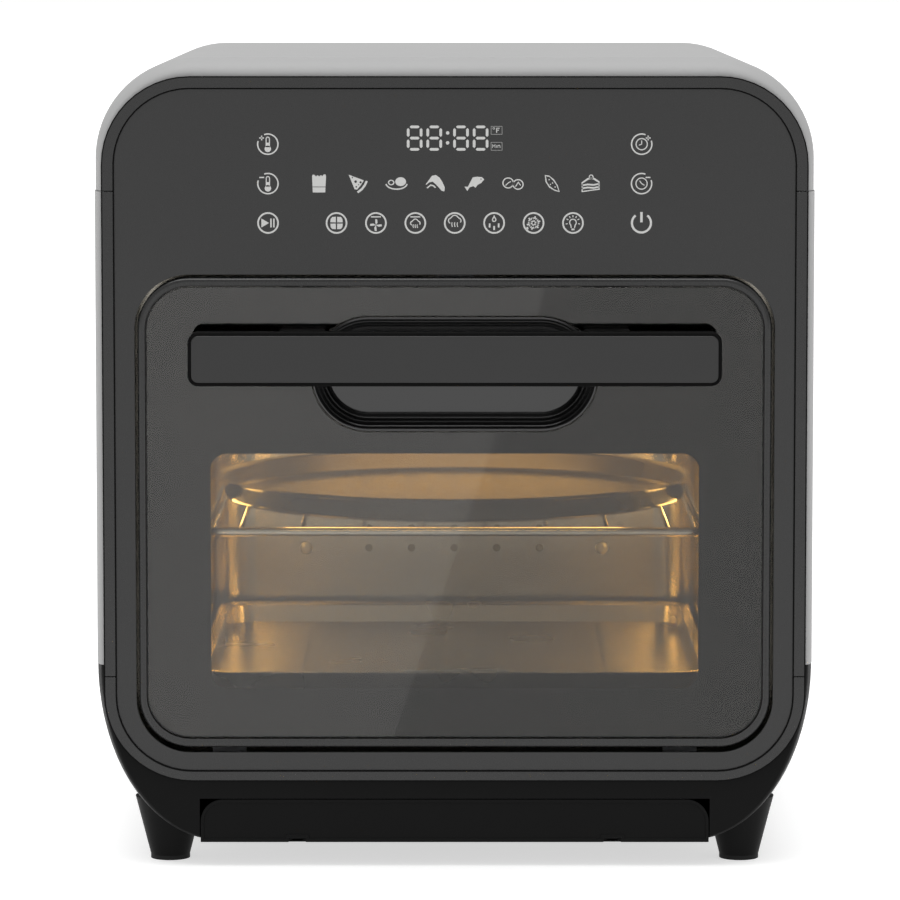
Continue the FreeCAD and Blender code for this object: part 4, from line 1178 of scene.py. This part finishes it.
    def sign(self, centre: Point2, plus: bool) -> None:
        """Print a plus or a minus.

        Args:
            centre: its middle.
            plus: whether it's a plus.
        """
        across, up = centre
        self.pen.line([(across - 1.1, up), (across + 1.1, up)], 0.6)
        if plus:
            self.pen.line([(across, up - 1.1), (across, up + 1.1)], 0.6)

    def thermometer(self) -> None:
        """Print a thermometer whose lower half is full."""
        stem, top = 1.0, 3.5
        dome = [on_circle(stem, turn, (0.0, top - stem)) for turn in range(0, 181, 20)]
        inner = [on_circle(stem - 0.45, turn, (0.0, top - stem)) for turn in range(0, 181, 20)]
        self.pen.fill([(stem, -1.4), *dome, (-stem, -1.4)], [(stem - 0.45, 0.7), *inner, (-stem + 0.45, 0.7)])
        self.pen.disc(1.5, (0.0, -2.2))

    def fries(self) -> None:
        """Print a box of fries."""
        sticks = [(-3.2, 3.3), (-2.9, 4.2), (-2.0, 4.0), (-1.4, 3.3), (-0.7, 3.9), (0.2, 3.3), (0.9, 4.0),
                  (1.5, 3.4), (2.3, 4.3), (3.1, 4.2), (3.3, 3.2)]
        self.pen.fill([*sticks, (3.0, -1.4), (-3.0, -1.4)])
        self.pen.fill([(-3.0, -1.7), (3.0, -1.7), (2.9, -4.1), (-2.9, -4.1)])

    def pizza(self) -> None:
        """Print a slice of pizza with its crust."""
        spots = ((0.62, (-1.0, 0.9)), (0.5, (1.3, 0.6)), (0.38, (-0.7, -1.5)), (0.32, (-2.5, 2.8)),
                 (0.26, (0.3, -0.5)))
        holes = [self.pen.circle(radius, centre) for radius, centre in spots]
        self.pen.fill([(-4.2, 4.1), (2.8, 1.5), (1.4, -0.8), (-0.3, -2.8), (-1.5, -2.6)], *holes)
        self.pen.line([(4.2, 1.2), (3.3, -0.7), (1.9, -2.6), (-0.1, -4.1)], 1.0)

    def steak(self) -> None:
        """Print a plate with a steak and an egg."""
        self.pen.disc(2.5, (1.9, 0.9), 0.82)
        self.pen.ring(1.5, 0.55, (-2.5, 0.5), 0.85)
        rim = [on_circle(4.9, turn) for turn in range(186, 355, 8)]
        self.pen.line([(across, up * 0.55 + 0.1) for across, up in rim], 0.62)

    def wings(self) -> None:
        """Print two wings."""
        self.pen.fill([(-1.6, 3.6), (0.2, 4.0), (1.9, 2.8), (3.2, 0.9), (4.4, -1.8), (4.2, -3.6), (3.0, -3.4),
                       (1.4, -1.6), (0.2, -0.3), (-1.2, 0.9), (-2.8, 0.6), (-4.4, -0.7), (-4.4, -0.2),
                       (-2.6, 2.2)])
        self.pen.line([(-3.9, -2.1), (-2.2, -0.7), (-0.9, -1.0), (0.1, -1.9)], 0.6)

    def fish(self) -> None:
        """Print a fish that points up to the right."""
        self.pen.fill([(-4.5, -1.4), (-2.9, -1.5), (-1.7, 0.9), (-0.6, 2.9), (1.4, 3.2), (3.6, 3.0),
                       (4.7, 1.9), (3.4, 0.4), (1.6, -0.6), (0.7, -1.9), (-0.4, -1.2), (-2.0, -1.7),
                       (-3.2, -3.4)],
                      self.pen.circle(0.3, (3.2, 2.1)))

    def rolls(self) -> None:
        """Print two bread rolls."""
        self.pen.ring(2.7, 0.55, (-2.2, 0.3), 0.95)
        self.pen.ring(2.6, 0.55, (2.4, -0.4), 0.95)
        self.pen.line([(-3.4, -0.9), (-2.2, 0.3), (-0.9, 1.0)], 0.45)
        self.pen.line([(1.2, -1.4), (2.5, 0.6), (3.6, -0.9)], 0.45)

    def potato(self) -> None:
        """Print a long potato that leans."""
        shape = [(-3.2, 4.0), (-1.2, 3.7), (1.0, 2.0), (2.8, -0.8), (3.7, -3.9), (1.5, -3.4), (-1.2, -1.8),
                 (-2.9, 0.9)]
        self.pen.loop(shape, 0.6)
        for spot in ((-1.2, 1.8), (0.4, 0.3), (-0.6, -0.4), (1.6, -1.6)):
            self.pen.disc(0.3, spot)

    def cake(self) -> None:
        """Print a slice of cake with a cherry."""
        self.pen.fill([(-4.2, -0.3), (-0.9, 1.9), (1.2, 2.0), (4.2, 0.2), (4.2, 1.0), (1.6, 2.8),
                       (-1.3, 2.6), (-4.2, 0.5)])
        self.pen.ring(1.1, 0.45, (0.3, 3.1))
        for low in (-0.6, -2.0):
            self.pen.line([(-4.1, low - 0.3), (-1.4, low + 0.2), (1.4, low), (4.1, low + 0.5)], 0.75)
        self.pen.line([(-3.9, -0.3), (-3.9, -3.7), (4.0, -2.6), (4.0, 0.4)], 0.5)

    def toast(self) -> None:
        """Print four toast slices in a square."""
        for across in BOTH_SIDES:
            for up in BOTH_SIDES:
                self.pen.fill([(across * 0.3, up * 0.3), (across * 2.9, up * 0.3), (across * 2.7, up * 1.9),
                               (across * 2.0, up * 2.8), (across * 0.3, up * 2.9)][::across * up])

    def fan(self) -> None:
        """Print a heating bar over a fan."""
        self.pen.line([(-2.3, 2.85), (2.3, 2.85)], 0.55)
        for turn in range(0, 360, 90):
            petal = [(0.0, 0.0), (1.2, -0.75), (2.7, -0.55), (2.7, 0.35), (1.2, 0.25)]
            angle = math.radians(turn)
            self.pen.fill([(x * math.cos(angle) - z * math.sin(angle),
                            x * math.sin(angle) + z * math.cos(angle) - 1.0) for x, z in petal])

    def cloud(self, size: float, up: float) -> None:
        """Print a cloud outline with three wisps under it.

        Args:
            size: its scale.
            up: its middle's height.
        """
        shape = [on_circle(1.0, turn, (-1.35, 0.2)) for turn in range(250, 90, -30)]
        shape += [on_circle(1.25, turn, (0.0, 1.0)) for turn in range(150, 20, -26)]
        shape += [on_circle(1.0, turn, (1.35, 0.2)) for turn in range(80, -70, -30)]
        self.pen.line([(x * size, z * size + up) for x, z in shape], 0.5)
        for across in (-1.0, 0.0, 1.0):
            self.pen.line([(across * size, up - size * 0.4), (across * size - 0.15, up - size * 1.2),
                           (across * size + 0.15, up - size * 2.1)], 0.42)

    def low_steam(self) -> None:
        """Print a heating bar over a small cloud."""
        self.pen.line([(-2.3, 2.85), (2.3, 2.85)], 0.55)
        self.cloud(0.95, -0.3)

    def steam(self) -> None:
        """Print a large cloud."""
        self.cloud(1.25, 0.8)

    def drip(self) -> None:
        """Print a drop over three short bars."""
        drop = [on_circle(1.05, turn, (0.0, 1.5)) for turn in range(150, 391, 24)]
        hole = [on_circle(0.55, turn, (0.0, 1.5)) for turn in range(150, 391, 24)]
        self.pen.fill([(0.0, 3.7), *drop], [(0.0, 2.5), *hole])
        for across, top in ((-2.1, -0.2), (0.0, -1.4), (2.1, -0.2)):
            self.pen.line([(across, top), (across, top - 1.9)], 0.8)

    def defrost(self) -> None:
        """Print a snow star with a drop beside it."""
        for turn in range(15, 195, 60):
            self.pen.line([on_circle(3.2, turn), on_circle(3.2, turn + 180)], 0.75)
        for turn in range(15, 375, 60):
            self.pen.line([on_circle(2.6, turn - 22), on_circle(1.5, turn), on_circle(2.6, turn + 22)], 0.5)
        self.pen.disc(0.5, (-2.9, -2.5), 1.4)

    def bulb(self) -> None:
        """Print a bulb with rays."""
        shape = [on_circle(1.55, turn, (0.0, 0.2)) for turn in range(-50, 231, 20)]
        self.pen.line([(0.75, -2.4), *shape, (-0.75, -2.4)], 0.5)
        self.pen.line([(-0.7, -3.0), (0.7, -3.0)], 0.8)
        for turn in (-12, 30, 60, 90, 120, 150, 192):
            self.pen.line([on_circle(2.45, turn, (0.0, 0.2)), on_circle(3.4, turn, (0.0, 0.2))], 0.45)


# --------------------------------------------------------------------------------------------
# Door
# --------------------------------------------------------------------------------------------


@dataclass
class Door:
    """The glass with its black print, the finger pocket and the bar handle, in millimetres."""

    glass_gap: float = 0.4
    glass_corner: float = 19.9
    glass_wall: float = 3.4
    glass_bevel: float = 0.45
    print_wall: float = 0.3
    print_gap: float = 0.06
    window_inset: float = 10.0
    window_corner: float = 7.5
    pocket_steps: tuple[tuple[float, float], ...] = (
        (5.5, 16.0), (0.0, 1.2), (0.0, 0.3), (0.3, 0.0), (0.9, 0.0), (1.3, 0.5), (2.1, 3.2), (2.4, 3.3),
        (3.7, 7.6), (4.0, 7.3), (5.3, 10.8), (5.6, 10.6), (7.0, 13.3), (7.7, 14.0), (8.2, 13.9))
    pocket_flat: float = 0.2
    pocket_edge: float = 0.15
    pocket_points: int = 20
    hole_gap: float = 0.3
    print_inset: float = 0.2
    core_edge: float = 0.8
    face_edge: float = 0.35
    arm_inner: float = 60.0
    arm_proud: float = 0.3
    arm_edge: float = 1.2
    plate_inset: float = 1.75
    plate_proud: float = 0.5
    plate_wall: float = 1.6
    bar_corner: float = 5.0

    def build(self, finishes: Finishes) -> bpy.types.Object:
        """Build the door's visible pieces.

        Args:
            finishes: the oven's finishes.

        Returns:
            The outer glass, for the studio's soft reflection.
        """
        low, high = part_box("finger_recess")
        radius = (high.z - low.z) / 2 - self.pocket_flat * MM
        pocket = Outline(low.x, high.x, low.z, high.z, radius, self.pocket_points)
        glass = self.make_glass(finishes, pocket)
        self.make_pocket(finishes, pocket, low.y)
        self.make_handle(finishes)
        return glass

    def make_glass(self, finishes: Finishes, pocket: Outline) -> bpy.types.Object:
        """Make the outer glass and the black print behind it, both open at the pocket.

        Args:
            finishes: the oven's finishes.
            pocket: the finger pocket's outline.

        Returns:
            The glass.
        """
        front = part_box("door_glass_outer")[0].y
        outline = box_outline("door_glass_outer", self.glass_corner * MM, self.glass_gap * MM)
        hole = pocket.grown(self.hole_gap * MM)
        glass = ring_piece("door_glass", outline, hole, front, front + self.glass_wall * MM)
        soften(glass, self.glass_bevel * MM, 2)
        finish_piece(glass, finishes.get("tint"), "door", "door_glass", "door_glass_outer")

        start = front + (self.glass_wall + self.print_gap) * MM
        sheet = ring_piece("glass_print", outline.grown(-self.print_inset * MM), hole, start,
                           start + self.print_wall * MM)
        window = box_outline("door_glass_inner", self.window_corner * MM, self.window_inset * MM)
        carve(sheet, plate_piece("cutter", window, start - CUT_PAST, start + CUT_PAST))
        smooth(sheet)
        finish_piece(sheet, finishes.get("frit"), "door", "black_trim")
        return glass

    def make_pocket(self, finishes: Finishes, pocket: Outline, front: float) -> None:
        """Make the finger pocket: a lip, a ridged sloping wall and a flat floor.

        Args:
            finishes: the oven's finishes.
            pocket: its outline.
            front: the depth of its lip in metres.
        """
        loops = [(pocket.grown(-inset * MM), front + depth * MM) for inset, depth in self.pocket_steps]
        piece = loft("finger_pocket", loops)
        soften(piece, self.pocket_edge * MM, 2, 12.0)
        finish_piece(piece, finishes.get("recess"), "door", "black_trim", "finger_recess")

    def make_handle(self, finishes: Finishes) -> None:
        """Make the bar's core, its satin face and the two arms behind it; the core's border round the face
        and the arms are painted shade.

        Args:
            finishes: the oven's finishes.
        """
        low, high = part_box("handle_bar")
        outline = box_outline("handle_bar", self.bar_corner * MM)
        core = plate_piece("handle_core", outline, low.y + self.plate_proud * MM, high.y)
        soften(core, self.core_edge * MM)
        # painted shade: the core's near-black dull finish stands in for the dark reflection of the bar's
        # bevelled edge round the face
        finish_piece(core, finishes.get("shadow"), "door", "handle_dark", "handle_bar")
        face = plate_piece("handle_face", outline.grown(-self.plate_inset * MM), low.y,
                           low.y + self.plate_wall * MM)
        soften(face, self.face_edge * MM)
        finish_piece(face, finishes.get("handle"), "door", "handle_dark")
        low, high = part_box("handle_posts")
        arms = []
        width = (high.x - low.x) / 2 - self.arm_inner * MM
        for side in BOTH_SIDES:
            outer = side * high.x
            inner = outer - side * width
            arm = block("arm", Vector((min(inner, outer), low.y - self.arm_proud * MM, low.z)),
                        Vector((max(inner, outer), high.y, high.z)))
            soften(arm, self.arm_edge * MM)
            arms.append(arm)
        piece = join(arms, "handle_arms")
        # painted shadow: the arms are near-black and dull, standing in for the shade behind the bar
        finish_piece(piece, finishes.get("shadow"), "door", "black_trim", "handle_posts")


# --------------------------------------------------------------------------------------------
# Cooking space
# --------------------------------------------------------------------------------------------


@dataclass
class CookingSpace:
    """The pans, the lamp and the light of the cavity, in millimetres."""

    pan_profile: tuple[Point2, ...] = (
        (0.0, 0.0), (110.5, 0.0), (113.3, 0.8), (114.6, 2.6), (115.9, 9.4), (117.3, 10.4), (118.0, 11.3),
        (117.3, 12.0), (115.7, 11.6), (114.7, 10.0), (113.4, 3.2), (112.2, 1.7), (110.0, 1.0), (0.0, 1.0))
    tray_corner: float = 18.0
    tray_inside: tuple[Point2, ...] = ((0.9, 0.0), (0.5, -0.5), (3.4, 0.0), (0.8, -0.8), (1.3, -8.9))
    tray_under: tuple[Point2, ...] = ((5.0, 0.0), (1.1, 10.2))
    tray_lip: float = 0.8
    rib_pitch: float = 78.0
    rib_half: float = 4.0
    rib_rise: float = 2.2
    rib_inset: float = 24.0
    rib_sink: float = 0.3
    rib_corner: float = 3.2
    rib_edge: float = 0.5
    tray_edge: float = 0.3
    tray_floor_drop: float = 10.2
    grip_half: float = 27.0
    grip_front: float = 0.6
    grip_back: float = 3.6
    grip_sink: float = 0.4
    grip_rise: float = 1.3
    grip_edge: float = 0.6
    bulb_neck: tuple[Point2, ...] = ((1.0, 0.55), (0.64, 0.66), (0.62, 1.0), (0.0, 1.0))
    wall: float = 1.0
    screw_across: float = 78.0
    screw_drop: float = 42.5
    screw_radius: float = 3.4
    screw_height: float = 1.6
    warm: Colour = (1.0, 0.60, 0.17)
    ceiling_power: float = 0.62
    ceiling_gap: float = 6.0
    ceiling_size: float = 0.17
    side_power: float = 0.30
    side_gap: float = 4.0
    side_size: float = 0.07
    side_level: float = 136.0
    side_aim: float = 84.0

    def build(self, finishes: Finishes) -> None:
        """Build the pans, the lamp and the cavity's light.

        Args:
            finishes: the oven's finishes.
        """
        self.make_pan(finishes)
        self.make_tray(finishes)
        self.make_lamp(finishes)
        self.make_screws(finishes)
        self.add_light()

    def make_pan(self, finishes: Finishes) -> None:
        """Spin the round pan with its rolled rim.

        Args:
            finishes: the oven's finishes.
        """
        low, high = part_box("round_pan")
        centre = Vector(((low.x + high.x) / 2, (low.y + high.y) / 2, low.z))
        pan = lathe("pan_bowl", [(radius * MM, up * MM) for radius, up in self.pan_profile], centre,
                    Vector((0, 0, 1)), 120)
        smooth(pan, 50.0)
        finish_piece(pan, finishes.get("pan"), "rack", "dark_pan", "round_pan")

    def make_tray(self, finishes: Finishes) -> None:
        """Make the low tray: a rolled lip, sloping walls, three floor ribs and a front grip.

        Args:
            finishes: the oven's finishes.
        """
        low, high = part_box("bake_tray")
        lip_low = Vector((low.x, low.y, high.z - self.tray_lip * MM))
        tray = block("tray", lip_low, high)
        round_corners(tray, 2, self.tray_corner * MM, 10)
        sink_face(tray, facing((0, 0, 1)), self.tray_inside)
        sink_face(tray, facing((0, 0, -1)), self.tray_under)
        soften(tray, self.tray_edge * MM, 2, 20.0)
        floor = high.z - self.tray_floor_drop * MM
        parts = [tray]
        for number in (-1, 0, 1):
            middle = number * self.rib_pitch * MM
            rib = block("rib", Vector((middle - self.rib_half * MM, low.y + self.rib_inset * MM,
                                       floor - self.rib_sink * MM)),
                        Vector((middle + self.rib_half * MM, high.y - self.rib_inset * MM,
                                floor + self.rib_rise * MM)))
            round_corners(rib, 2, self.rib_corner * MM, 5)
            soften(rib, self.rib_edge * MM, 2)
            parts.append(rib)
        grip = block("grip", Vector((-self.grip_half * MM, low.y + self.grip_front * MM,
                                     high.z - self.grip_sink * MM)),
                     Vector((self.grip_half * MM, low.y + self.grip_back * MM,
                             high.z + self.grip_rise * MM)))
        soften(grip, self.grip_edge * MM)
        parts.append(grip)
        piece = join(parts, "tray_pan")
        finish_piece(piece, finishes.get("plated"), "bake", "dark_pan", "bake_tray")

    def make_lamp(self, finishes: Finishes) -> None:
        """Make the lamp's glowing bulb behind its lens.

        Args:
            finishes: the oven's finishes.
        """
        low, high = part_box("lamp_bulb")
        centre = Vector((low.x, (low.y + high.y) / 2, (low.z + high.z) / 2))
        long, wide = high.x - low.x, (high.z - low.z) / 2
        turns = [math.radians(turn) for turn in range(15, 91, 15)]
        dome = [(0.0, 0.0)] + [(wide * math.sin(turn), wide * (1 - math.cos(turn))) for turn in turns]
        neck = [(wide * out, long * along) for out, along in self.bulb_neck]
        bulb = lathe("lamp_globe", dome + neck, centre, Vector((1, 0, 0)), 40)
        smooth(bulb, 40.0)
        finish_piece(bulb, finishes.get("lamp"), "casing", "clear_glass", "lamp_bulb")

    def make_screws(self, finishes: Finishes) -> None:
        """Make two pan-head screws on the rear wall of the cavity.

        Args:
            finishes: the oven's finishes.
        """
        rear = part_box("cavity_wrap")[1].y - self.wall * MM
        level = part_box("round_pan")[0].z - self.screw_drop * MM
        heads = [screw_head("head", Vector((side * self.screw_across * MM, rear, level)),
                            Vector((0, -1, 0)), self.screw_radius * MM, self.screw_height * MM)
                 for side in BOTH_SIDES]
        finish_piece(join(heads, "wall_screws"), finishes.get("zinc"), "casing", "zinc_steel")

    def add_light(self) -> None:
        """Light the cavity as its lamp and glowing elements do."""
        low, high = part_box("cavity_wrap")
        middle = (low.y + high.y) / 2
        add_area("cavity_ceiling_light", (0.0, middle, high.z - self.ceiling_gap * MM),
                 (0.0, middle, low.z), self.ceiling_size, self.ceiling_power, self.warm)
        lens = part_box("lamp_lens")[0]
        for side, name in zip(BOTH_SIDES, ("left", "right")):
            place = (side * (lens.x - self.side_gap * MM), middle, self.side_level * MM)
            add_area(f"cavity_side_light_{name}", place, (0.0, middle, self.side_aim * MM), self.side_size,
                     self.side_power, self.warm)


def screw_head(name: str, base: Vector, axis: Vector, radius: float, height: float) -> bpy.types.Object:
    """Make a domed screw head with a cross recess.

    Args:
        name: the piece's name.
        base: the middle of its underside.
        axis: the way that it looks.
        radius: its radius in metres.
        height: its height in metres.

    Returns:
        The new object.
    """
    profile = [(0.0, 0.0), (radius, 0.0), (radius, height * 0.35), (radius * 0.86, height * 0.75),
               (radius * 0.5, height * 0.96), (0.0, height)]
    head = lathe(name, profile, base, axis, 32)
    half = [radius * 0.12, radius * 0.55]
    for across in (0, 1):
        spread = Vector((half[across], 0.0, half[1 - across]))
        top = base + axis * height * 1.2
        floor = base + axis * height * 0.45
        lowest = Vector(tuple(min(a, b) for a, b in zip(top, floor))) - spread
        highest = Vector(tuple(max(a, b) for a, b in zip(top, floor))) + spread
        carve(head, block("cutter", lowest, highest))
    smooth(head, 30.0)
    return head


def add_area(name: str, place: Sequence[float], target: Sequence[float], size: float, power: float,
             colour: Colour) -> bpy.types.Object:
    """Add a square soft light that the camera doesn't see.

    Args:
        name: the light's name.
        place: where it stands.
        target: the point that it faces.
        size: its side in metres.
        power: its power in watts.
        colour: its colour.

    Returns:
        The light's object.
    """
    data = bpy.data.lights.new(name, "AREA")
    data.size, data.energy, data.color = size, power, colour
    light = bpy.data.objects.new(name, data)
    light.location = place
    light.rotation_euler = (Vector(target) - Vector(place)).to_track_quat("-Z", "Y").to_euler()
    light.visible_camera = False
    bpy.context.collection.objects.link(light)
    return light


# --------------------------------------------------------------------------------------------
# Casing details
# --------------------------------------------------------------------------------------------


@dataclass
class Casing:
    """Softened copies of the moulded shells, and the fittings on the rear, in millimetres."""

    edge: float = 0.45
    spacer_rim: float = 1.0
    trim_corner: float = 41.0
    fascia_corner: float = 35.3
    strip_inset: float = 1.6
    strip_depth: float = 0.5
    # painted shade lines along the seams: how far proud they stand, and each line's width outside, width
    # inside and depth, in millimetres
    shade_line_proud: float = 0.1
    trim_shade_line: tuple[float, float, float] = (0.2, 0.35, 0.3)
    fascia_shade_line: tuple[float, float, float] = (0.35, 0.15, 0.7)
    spacer_radius: float = 9.0
    screw_radius: float = 3.2
    gland_bore: float = 3.8
    gland_neck: float = 7.0
    gland_lip: float = 0.8
    flange_start: float = 8.0
    flange_edge: float = 9.1
    flange_end: float = 9.5
    flange_chamfer: float = 0.4
    softened: tuple[tuple[str, str, str, str, str], ...] = (
        ("drip_front", "drip_tray_front", "hull", "drip", "black_hull"),
        ("ring_top", "trim_top", "trim", "casing", "black_trim"),
        ("ring_bottom", "trim_bottom", "trim", "casing", "black_trim"),
        ("ring_left", "trim_left", "trim", "casing", "black_trim"),
        ("ring_right", "trim_right", "trim", "casing", "black_trim"),
    )

    def build(self, finishes: Finishes) -> None:
        """Build the softened shells and the rear fittings.

        Args:
            finishes: the oven's finishes.
        """
        for name, node, finish, body, slot in self.softened:
            piece = copied_node(name, node)
            if body == "drip":
                step_face(piece, facing((0, -1, 0)), self.strip_inset * MM,
                          Vector((0.0, self.strip_depth * MM, 0.0)))
            soften(piece, self.edge * MM, 3, 40.0)
            finish_piece(piece, finishes.get(finish), body, slot, node)
        self.make_seams(finishes)
        self.make_spacers(finishes)
        self.make_screws(finishes)
        self.make_gland(finishes)

    def make_seams(self, finishes: Finishes) -> None:
        """Make two thin lines of painted shade, outside the trim ring and between the trim and the fascia,
        where the seam gaps fall dark.

        Args:
            finishes: the oven's finishes.
        """
        foot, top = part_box("trim_bottom")[0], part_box("trim_top")[1]
        front = foot.y - self.shade_line_proud * MM
        rims = ((Outline(foot.x, top.x, foot.z, top.z, self.trim_corner * MM), self.trim_shade_line),
                (box_outline("front_fascia", self.fascia_corner * MM), self.fascia_shade_line))
        shade_lines = [ring_piece("shade_line", rim.grown(out * MM), rim.grown(-inside * MM), front, front + deep * MM)
                 for rim, (out, inside, deep) in rims]
        piece = join(shade_lines, "seam_shade_lines")
        # painted shade: near-black dull rings stand in for the dark shade in the seam gaps
        finish_piece(piece, finishes.get("shadow"), "casing", "black_trim")

    def make_spacers(self, finishes: Finishes) -> None:
        """Make the four round stand-offs that keep the rear off a wall.

        Args:
            finishes: the oven's finishes.
        """
        low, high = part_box("rear_spacers")
        radius, depth, rim = self.spacer_radius * MM, high.y - low.y, self.spacer_rim * MM
        profile = [(0.0, 0.0), (radius, 0.0), (radius, depth - rim), (radius - rim * 0.3, depth - rim * 0.3),
                   (radius - rim, depth), (radius * 0.55, depth), (radius * 0.45, depth - rim),
                   (0.0, depth - rim)]
        cups = []
        for x in (low.x + radius, high.x - radius):
            for z in (low.z + radius, high.z - radius):
                cups.append(lathe("cup", profile, Vector((x, low.y, z)), Vector((0, 1, 0)), 48))
        piece = join(cups, "stand_off_cups")
        smooth(piece, 35.0)
        finish_piece(piece, finishes.get("hull"), "casing", "black_hull", "rear_spacers")

    def make_screws(self, finishes: Finishes) -> None:
        """Make the six screws of the rear cover.

        Args:
            finishes: the oven's finishes.
        """
        low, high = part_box("rear_screws")
        radius, middle, height = self.screw_radius * MM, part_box("top_cover")[1].z / 2, high.y - low.y
        heads = []
        for x in (low.x + radius, high.x - radius):
            for z in (low.z + radius, middle, high.z - radius):
                heads.append(screw_head("head", Vector((x, low.y, z)), Vector((0, 1, 0)), radius, height))
        piece = join(heads, "cover_screws")
        finish_piece(piece, finishes.get("zinc"), "casing", "zinc_steel", "rear_screws")

    def make_gland(self, finishes: Finishes) -> None:
        """Spin the cord gland, a flanged sleeve with rounded lips.

        Args:
            finishes: the oven's finishes.
        """
        low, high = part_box("cord_gland")
        centre = Vector(((low.x + high.x) / 2, low.y, (low.z + high.z) / 2))
        flange, long, lip = (high.x - low.x) / 2, high.y - low.y, self.gland_lip * MM
        bore, neck = self.gland_bore * MM, self.gland_neck * MM
        start, edge, end = self.flange_start * MM, self.flange_edge * MM, self.flange_end * MM
        profile = [(bore, 0.0), (neck, 0.0), (neck, start), (flange, start), (flange, edge),
                   (flange - self.flange_chamfer * MM, end), (neck, end), (neck - lip * 0.3, long - lip),
                   (neck - lip, long), (bore + lip, long), (bore, long - lip), (bore, 0.0)]
        sleeve = lathe("gland_sleeve", profile, centre, Vector((0, 1, 0)), 64)
        smooth(sleeve, 35.0)
        finish_piece(sleeve, finishes.get("rubber"), "casing", "black_rubber", "cord_gland")


# --------------------------------------------------------------------------------------------
# CAD nodes that keep their shape
# --------------------------------------------------------------------------------------------

KEPT_NODES = {
    "silver": ("top_cover", "side_panel_left", "side_panel_right"),
    "hull": ("base_hull", "drip_tray_front", "feet", "rear_cover", "rear_spacers", "drip_rails"),
    "trim": ("trim_top", "trim_bottom", "trim_left", "trim_right", "door_frame", "handle_posts"),
    "recess": ("finger_recess",),
    "fascia": ("front_fascia",),
    "clear": ("door_glass_inner", "lamp_lens", "lamp_bulb"),
    "tint": ("door_glass_outer",),
    "handle": ("handle_bar",),
    "steel": ("cavity_wrap", "cavity_floor_plate", "cavity_ceiling", "ceiling_grille", "front_frame",
              "door_inner_panel"),
    "chrome": ("rack_frame", "rack_wires"),
    "pan": ("round_pan", "bake_tray"),
    "zinc": ("handle_screws", "rear_screws", "hinge_pins", "hinge_brackets", "fan_shaft",
             "fan_shroud", "motor_bracket", "fan_motor", "drip_tray", "door_catch", "catch_keeper",
             "temperature_probe"),
    "sheath": ("upper_heater", "lower_heaters"),
    "ceramic": ("heater_ends", "lamp_socket"),
    "board": ("control_board", "power_board"),
    "rubber": ("door_gasket", "foot_pads", "cord_gland", "display_module", "door_switch"),
    "fibre": ("insulation",),
    "alloy": ("convection_fan", "cooling_fan"),
}


def dress_kept_nodes(finishes: Finishes) -> None:
    """Give every CAD node its finish.

    Args:
        finishes: the oven's finishes.
    """
    for key, nodes in KEPT_NODES.items():
        for node in nodes:
            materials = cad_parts[node].data.materials
            materials.clear()
            materials.append(finishes.get(key))
        LOG.info("dressed %d nodes in %s", len(nodes), key)


def main() -> None:
    """Build the studio and the oven's looks round the CAD frame."""
    logging.basicConfig(level=logging.INFO, format="%(name)s %(message)s")
    finishes = Finishes()
    studio = Studio()
    studio.build()
    dress_kept_nodes(finishes)
    Casing().build(finishes)
    studio.add_sheen(Door().build(finishes))
    CookingSpace().build(finishes)
    ControlPanel().build(finishes)


if __name__ == "__main__":
    main()
